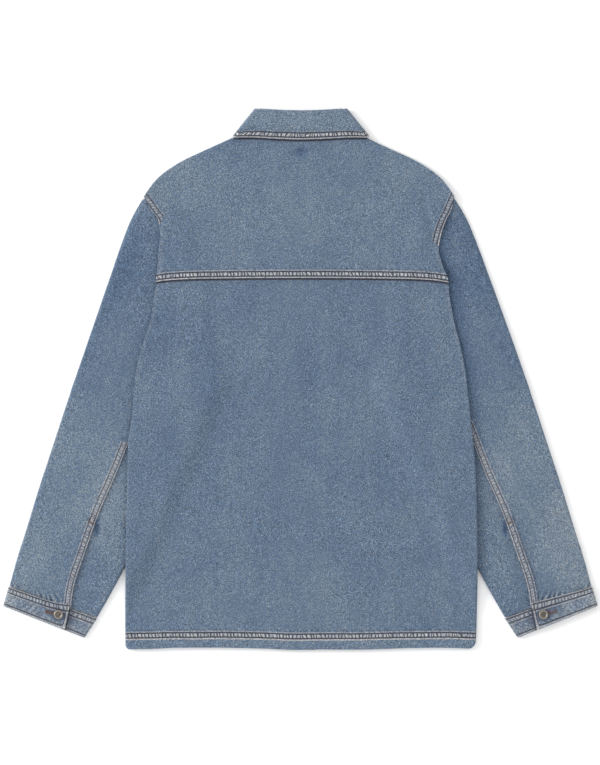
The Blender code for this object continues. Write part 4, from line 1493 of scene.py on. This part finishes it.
def makeCollarLeaf():
    roll, face = collarLook["roll"], level["collarMiddle"]
    grid, marks = [], []
    walked = 0.0
    last = None
    for hand, row in collarStations():
        reach = math.hypot(row.edgeX - row.rollX, row.edgeY - row.rollY)
        sewn = collarLook["sewn"]
        run = [(reach - sewn * i / 17, face) for i in range(18)]
        run += [(mix(reach - sewn, roll, i / 9), face) for i in range(1, 10)]
        flat = len(run)
        for i in range(1, 9):
            a = math.pi * i / 8
            run.append((roll - roll * math.sin(a), face - roll + roll * math.cos(a)))
        grid.append([collarPoint(hand, row, row.edgeX, row.edgeY, *pair) for pair in run])
        corner = Vector(collarPoint(hand, row, row.edgeX, row.edgeY, reach, face))
        walked += (corner - last).length if last else 0.0
        last = corner
        marks.append([(walked, reach - a - collarLook["firstRow"], 0.0, offSeam) for a, z in run[:flat]])
        marks[-1] += [noSeam] * (len(run) - flat)
    plain = washedAndShaded([], collarLook["ground"])
    piece = clothSheet("collarLeaf", grid, cloth["collar"], denimCollar, marks=marks, washAndShade=plain)
    standFor(piece, "collar_leaf")


def makeCollarStand():
    grid = []
    for hand, row in collarStations():
        reach = math.hypot(row.neckX - row.rollX, row.neckY - row.rollY)
        run = [mix(4.8, reach, i / 10) for i in range(11)]
        grid.append([collarPoint(hand, row, row.neckX, row.neckY, a, 2.3) for a in run])
    plain = washedAndShaded([], collarLook["ground"])
    piece = clothSheet("collarStand", grid, cloth["collar"], denimCollar, outward=-1, washAndShade=plain)
    standFor(piece, "collar_stand")


makeCollarLeaf()
makeCollarStand()
print("collar made")


buttonLook = {
    "heights": (636.0, 524.0, 412.0, 300.0, 188.0, 76.0),
    "frontRadius": 8.5,
    "cuffRadius": 6.8,
    "cuffTall": 2.4,
    "frontClear": 0.3,  # between the lowest buttons and the floor
    "turns": 56,
    "outline": [  # share of the radius out, and mm over the head's height
        (0.0, -0.05),
        (0.1, -0.07),
        (0.2, -0.22),
        (0.25, -0.5),
        (0.34, -0.62),
        (0.52, -0.55),
        (0.6, -0.42),
        (0.655, -0.05),
        (0.71, 0.2),
        (0.78, 0.29),
        (0.86, 0.22),
        (0.94, -0.02),
        (0.99, -0.3),
        (1.0, -0.55),
        (0.97, -0.85),
    ],
    "shank": [(0.9, 0.5), (0.42, 0.42), (0.37, 0.3), (0.37, 0.0), (0.0, 0.0)],  # mm over its foot
    "brass": (0.26, 0.235, 0.205),
    "tarnish": (0.075, 0.072, 0.07),
}


def agedBrass():
    material, tree, shader = newMaterial("agedBrass")
    where = makeNode(tree, "ShaderNodeTexCoord").outputs["Object"]
    spots = noiseAt(tree, where, 420.0, detail=3.0)
    share = calc(tree, "MULTIPLY_ADD", spots, 0.9, meshValue(tree, "rub"), clamp=True)
    colour = colourMix(tree, share, (*buttonLook["tarnish"], 1.0), buttonLook["brass"])
    tree.links.new(colour, shader.inputs["Base Color"])
    tree.links.new(calc(tree, "MULTIPLY_ADD", spots, 0.5, 0.42), shader.inputs["Roughness"])
    shader.inputs["Metallic"].default_value = 1.0
    return material


brassMaterial = agedBrass()


def makeButton(name, node, x, y, base, facing, radius, tall):
    outline = [(across * radius, tall + up) for across, up in buttonLook["outline"]]
    outline += [(across * radius, up) for across, up in buttonLook["shank"]]
    points = [(across * mm, 0.0, up * mm) for across, up in outline]
    edges = [(i, i + 1) for i in range(len(points) - 1)]
    piece, mesh = newPiece(name, points, edges, [], brassMaterial)
    turn = piece.modifiers.new("Turn", "SCREW")
    turn.steps = turn.render_steps = buttonLook["turns"]
    turn.use_merge_vertices = True
    turn.merge_threshold = 0.00001
    finishMesh(piece)
    rubbed = []
    for vertex in mesh.vertices:
        out = vertex.co.xy.length / (radius * mm)
        rubbed.append(0.25 + 0.75 * smooth((out - 0.5) / 0.25) if vertex.co.z > 0.5 * tall * mm else 0.1)
        across, up = facing * vertex.co.y, facing * vertex.co.z
        vertex.co = (vertex.co.x + x * mm, across + (y - middle) * mm, up + base * mm)
    addValue(mesh, "rub", rubbed)
    pick(piece)
    bpy.ops.object.mode_set(mode="EDIT")
    bpy.ops.mesh.select_all(action="SELECT")
    bpy.ops.mesh.normals_make_consistent(inside=False)
    bpy.ops.object.mode_set(mode="OBJECT")
    piece.select_set(False)
    standFor(piece, node)


for number, height in enumerate(buttonLook["heights"], 1):
    base = level["bandLift"] - cloth["gap"]
    name, node = f"frontButton{number}", f"front_button_{number}"
    radius, tall = buttonLook["frontRadius"], base - buttonLook["frontClear"]
    makeButton(name, node, 0.0, height, base, -1, radius, tall)
for hand, side in sideName.items():
    x, y = cuffLook["button"]
    base = level["cuffTop"] + cloth["gap"]
    name, node = f"cuffButton{side.capitalize()}", f"cuff_button_{side}"
    makeButton(name, node, hand * x, y, base, 1, buttonLook["cuffRadius"], buttonLook["cuffTall"])
print("buttons made")


threadLook = {
    "pitch": 3.3,
    "length": 2.5,
    "radius": 0.26,
    "proud": 0.06,
    "sides": 6,
    "sewing": (0.03, 0.032, 0.055),
    "tack": (0.13, 0.062, 0.042),
    "hanger": (0.03, 0.055, 0.11),
    "satinPitch": 0.42,
    "satinRadius": 0.27,
    "satinProud": 0.12,
    "stitch": [  # share along, share of the radius, and radii up
        (0.0, 0.35, -1.3),
        (0.16, 0.95, -0.25),
        (0.5, 1.0, 0.0),
        (0.84, 0.95, -0.25),
        (1.0, 0.35, -1.3),
    ],
}


def threadMaterial(name, colour):
    material, tree, shader = newMaterial(name)
    where = makeNode(tree, "ShaderNodeTexCoord").outputs["Object"]
    tone = calc(tree, "MULTIPLY_ADD", noiseAt(tree, where, 900.0), 1.2, 0.35, clamp=True)
    faded = [0.5 * value + 0.06 for value in colour]
    tree.links.new(colourMix(tree, tone, (*colour, 1.0), faded), shader.inputs["Base Color"])
    shader.inputs["Roughness"].default_value = 0.8
    shader.inputs["Specular IOR Level"].default_value = 0.2
    return material


sewingThread = threadMaterial("sewingThread", threadLook["sewing"])
tackThread = threadMaterial("tackThread", threadLook["tack"])
blueThread = threadMaterial("blueThread", threadLook["hanger"])


def addStrand(points, faces, start, end, up, radius, arch):
    # one stitch: a tube from start to end whose ends dip back into the cloth
    along = (end - start).normalized()
    side = along.cross(up).normalized()
    rise = side.cross(along)
    sides = threadLook["sides"]
    first = len(points)
    for t, size, up in threadLook["stitch"]:
        centre = start.lerp(end, t) + rise * (arch + up * radius)
        for k in range(sides):
            a = 2 * math.pi * k / sides
            points.append(centre + (side * math.cos(a) + rise * math.sin(a)) * radius * size)
    rings = len(threadLook["stitch"]) - 1
    for ring in range(rings):
        for k in range(sides):
            a, b = first + ring * sides + k, first + ring * sides + (k + 1) % sides
            faces.append((a, b, b + sides, a + sides))
    faces.append(tuple(range(first, first + sides))[::-1])
    last = first + rings * sides
    faces.append(tuple(range(last, last + sides)))


def threadPiece(name, points, faces, material):
    piece = newPiece(name, [inMetres(p) for p in points], [], [f[::-1] for f in faces], material)[0]
    finishMesh(piece)
    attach(piece, "root")


def rowPlaces(sheet, runAt, distanceAt, wanted):
    # (run, point, normal) wherever a needle row crosses the sheet's grid, in order
    points, marks, normals = sheet["points"], sheet["marks"], sheet["normals"]
    places = {}
    for face in sheet["faces"]:
        for a, b in zip(face, face[1:] + face[:1]):
            da, db = marks[a][distanceAt] - wanted, marks[b][distanceAt] - wanted
            if (da < 0) == (db < 0) or abs(da - db) > 12:
                continue
            t = da / (da - db)
            place = points[a].lerp(points[b], t), normals[a].lerp(normals[b], t).normalized()
            places[(min(a, b), max(a, b))] = (mix(marks[a][runAt], marks[b][runAt], t), *place)
    return sorted(places.values(), key=lambda place: place[0])


def sewRow(points, faces, places):
    at = places[0][0] + 1.0
    i = 0
    while i < len(places) - 1:
        while i < len(places) - 1 and places[i + 1][0] < at:
            i += 1
        j = i
        while j < len(places) - 1 and places[j + 1][0] < at + threadLook["length"]:
            j += 1
        if j >= len(places) - 1 or i >= len(places) - 1:
            return
        ends = []
        for k, run in ((i, at), (j, at + threadLook["length"])):
            (runA, a, upA), (runB, b, upB) = places[k], places[k + 1]
            share = (run - runA) / max(runB - runA, 1e-6)
            ends.append(a.lerp(b, share))
        reach = (ends[1] - ends[0]).length
        if 0.6 * threadLook["length"] < reach < 1.5 * threadLook["length"]:
            up = places[i][2]
            addStrand(points, faces, ends[0], ends[1], up, threadLook["radius"], threadLook["proud"])
        at += threadLook["pitch"]


def sew(name):
    points, faces = [], []
    for runAt, distanceAt in ((0, 1), (2, 3)):
        for wanted in (0.0, doubleNeedle):
            places = rowPlaces(made[name], runAt, distanceAt, wanted)
            if len(places) > 4:
                sewRow(points, faces, places)
    threadPiece(f"{name}Thread", points, faces, sewingThread)
    print(name, "sewn with", len(faces) // (4 * threadLook["sides"] + 2), "stitches")


for name in list(made):
    if any(m != noSeam for m in made[name]["marks"]):
        sew(name)


def onSheet(name, x, y):
    # the height of the sheet's nearest outside point, to set small sewing on
    return min(made[name]["points"], key=lambda p: (p.xy - Vector((x, y))).length).z


def satin(points, faces, start, end, width, z):
    # strands side by side along a line from start to end
    start, end = Vector((*start, z)), Vector((*end, z))
    along = (end - start).normalized()
    upward = Vector((0, 0, 1))
    across = along.cross(upward) * 0.5 * width
    radius, proud = threadLook["satinRadius"], threadLook["satinProud"]
    count = max(2, round((end - start).length / threadLook["satinPitch"]))
    for i in range(count + 1):
        centre = start.lerp(end, i / count)
        reach = across * (1 + 0.12 * noise.noise(centre * 1.7))
        addStrand(points, faces, centre - reach, centre + reach, upward, radius, proud)


tackLook = {
    "placket": (0.8, 10.8),  # its ends, in from the placket's edge
    "placketWidth": 2.4,
    "holeSide": 1.35,  # from the buttonhole's slit to the middle of its satin
    "width": 2.0,
    "endTack": 2.3,
    "hanger": ((-3.5, 725), (5.5, 724.5)),
}


def makeTacks(hand):
    side = sideName[hand]
    points, faces = [], []
    section = curveRow(sleeve, sleeveLook["placketFrom"] + 0.05)
    top = sleeveTop(section.seam, section) + cloth["gap"] + cloth["strip"] - 0.1
    ends = sectionPoints(section, hand, [(section.seam - inFrom, top) for inFrom in tackLook["placket"]])
    satin(points, faces, ends[0][:2], ends[1][:2], tackLook["placketWidth"], top)
    z = level["cuffTop"] + 0.2
    (bx, by), (sx, sy) = cuffLook["button"], cuffLook["slit"]
    length = math.hypot(sx - bx, sy - by)
    alongX, alongY = (sx - bx) / length, (sy - by) / length
    width, reach = tackLook["width"], tackLook["endTack"]
    for beside in (-tackLook["holeSide"], tackLook["holeSide"]):
        startX, startY = bx - alongY * beside, by + alongX * beside
        far = (hand * (startX + alongX * length), startY + alongY * length)
        satin(points, faces, (hand * startX, startY), far, width, z)
    satin(points, faces, (hand * sx, sy - reach), (hand * (sx + 0.5), sy + reach), width, z + 0.1)
    threadPiece(f"tacks{side.capitalize()}", points, faces, tackThread)


for hand in (-1, 1):
    makeTacks(hand)
points, faces = [], []
hangerTop = onSheet("backYoke", 0.5, 725) - 0.15
satin(points, faces, *tackLook["hanger"], tackLook["width"], hangerTop)
threadPiece("hangerTack", points, faces, blueThread)
print("tacks made")


stageLook = {
    "floor": (0.95, 0.95, 0.95),
    "floorSize": 16.0,
    "floorDrop": 0.0002,
    "ambient": 1.05,
    "pixel": 1.45,  # mm of the jacket's back to each pixel of a 600 by 765 picture
    "pictureHeight": 765,
    "centre": (-1.45, -5.1),  # what the picture's middle sees, in mm
    "distance": 5.0,
    "film": 36.0,
    "focus": 0.007,  # height that the scale holds at, in metres
    "keyPlace": (-5.8, 1.6, 2.7),
    "keySize": 2.4,
    "keyPower": 330.0,
}


def makeStage():
    bpy.ops.object.select_all(action="DESELECT")
    place = (0.0, 0.0, -stageLook["floorDrop"])
    bpy.ops.mesh.primitive_plane_add(size=stageLook["floorSize"], location=place)
    floor = bpy.context.object
    floor.name = "floor"
    paper, tree, shader = newMaterial("paper")
    shader.inputs["Base Color"].default_value = (*stageLook["floor"], 1.0)
    shader.inputs["Roughness"].default_value = 0.9
    shader.inputs["Specular IOR Level"].default_value = 0.1
    floor.data.materials.append(paper)
    world = bpy.data.worlds.new("studio")
    bpy.context.scene.world = world
    world.use_nodes = True
    sky = world.node_tree.nodes["Background"]
    sky.inputs["Color"].default_value = (1.0, 1.0, 1.0, 1.0)
    sky.inputs["Strength"].default_value = stageLook["ambient"]


def addKey():
    lamp = bpy.data.lights.new("key", "AREA")
    lamp.size = stageLook["keySize"]
    lamp.energy = stageLook["keyPower"]
    holder = bpy.data.objects.new("key", lamp)
    bpy.context.scene.collection.objects.link(holder)
    holder.location = stageLook["keyPlace"]
    holder.rotation_euler = (-Vector(stageLook["keyPlace"])).to_track_quat("-Z", "Y").to_euler()


def makeCamera():
    lens = bpy.data.cameras.new("camera")
    camera = bpy.data.objects.new("camera", lens)
    bpy.context.scene.collection.objects.link(camera)
    x, y = stageLook["centre"]
    camera.location = (x * mm, y * mm, stageLook["distance"])
    lens.sensor_fit = "VERTICAL"
    lens.sensor_height = lens.sensor_width = stageLook["film"]
    shown = stageLook["pictureHeight"] * stageLook["pixel"] * mm
    lens.lens = stageLook["film"] * (stageLook["distance"] - stageLook["focus"]) / shown
    lens.clip_end = 100.0
    bpy.context.scene.camera = camera


makeStage()
addKey()
makeCamera()
bpy.context.scene.view_settings.view_transform = "Standard"
print("stage set")
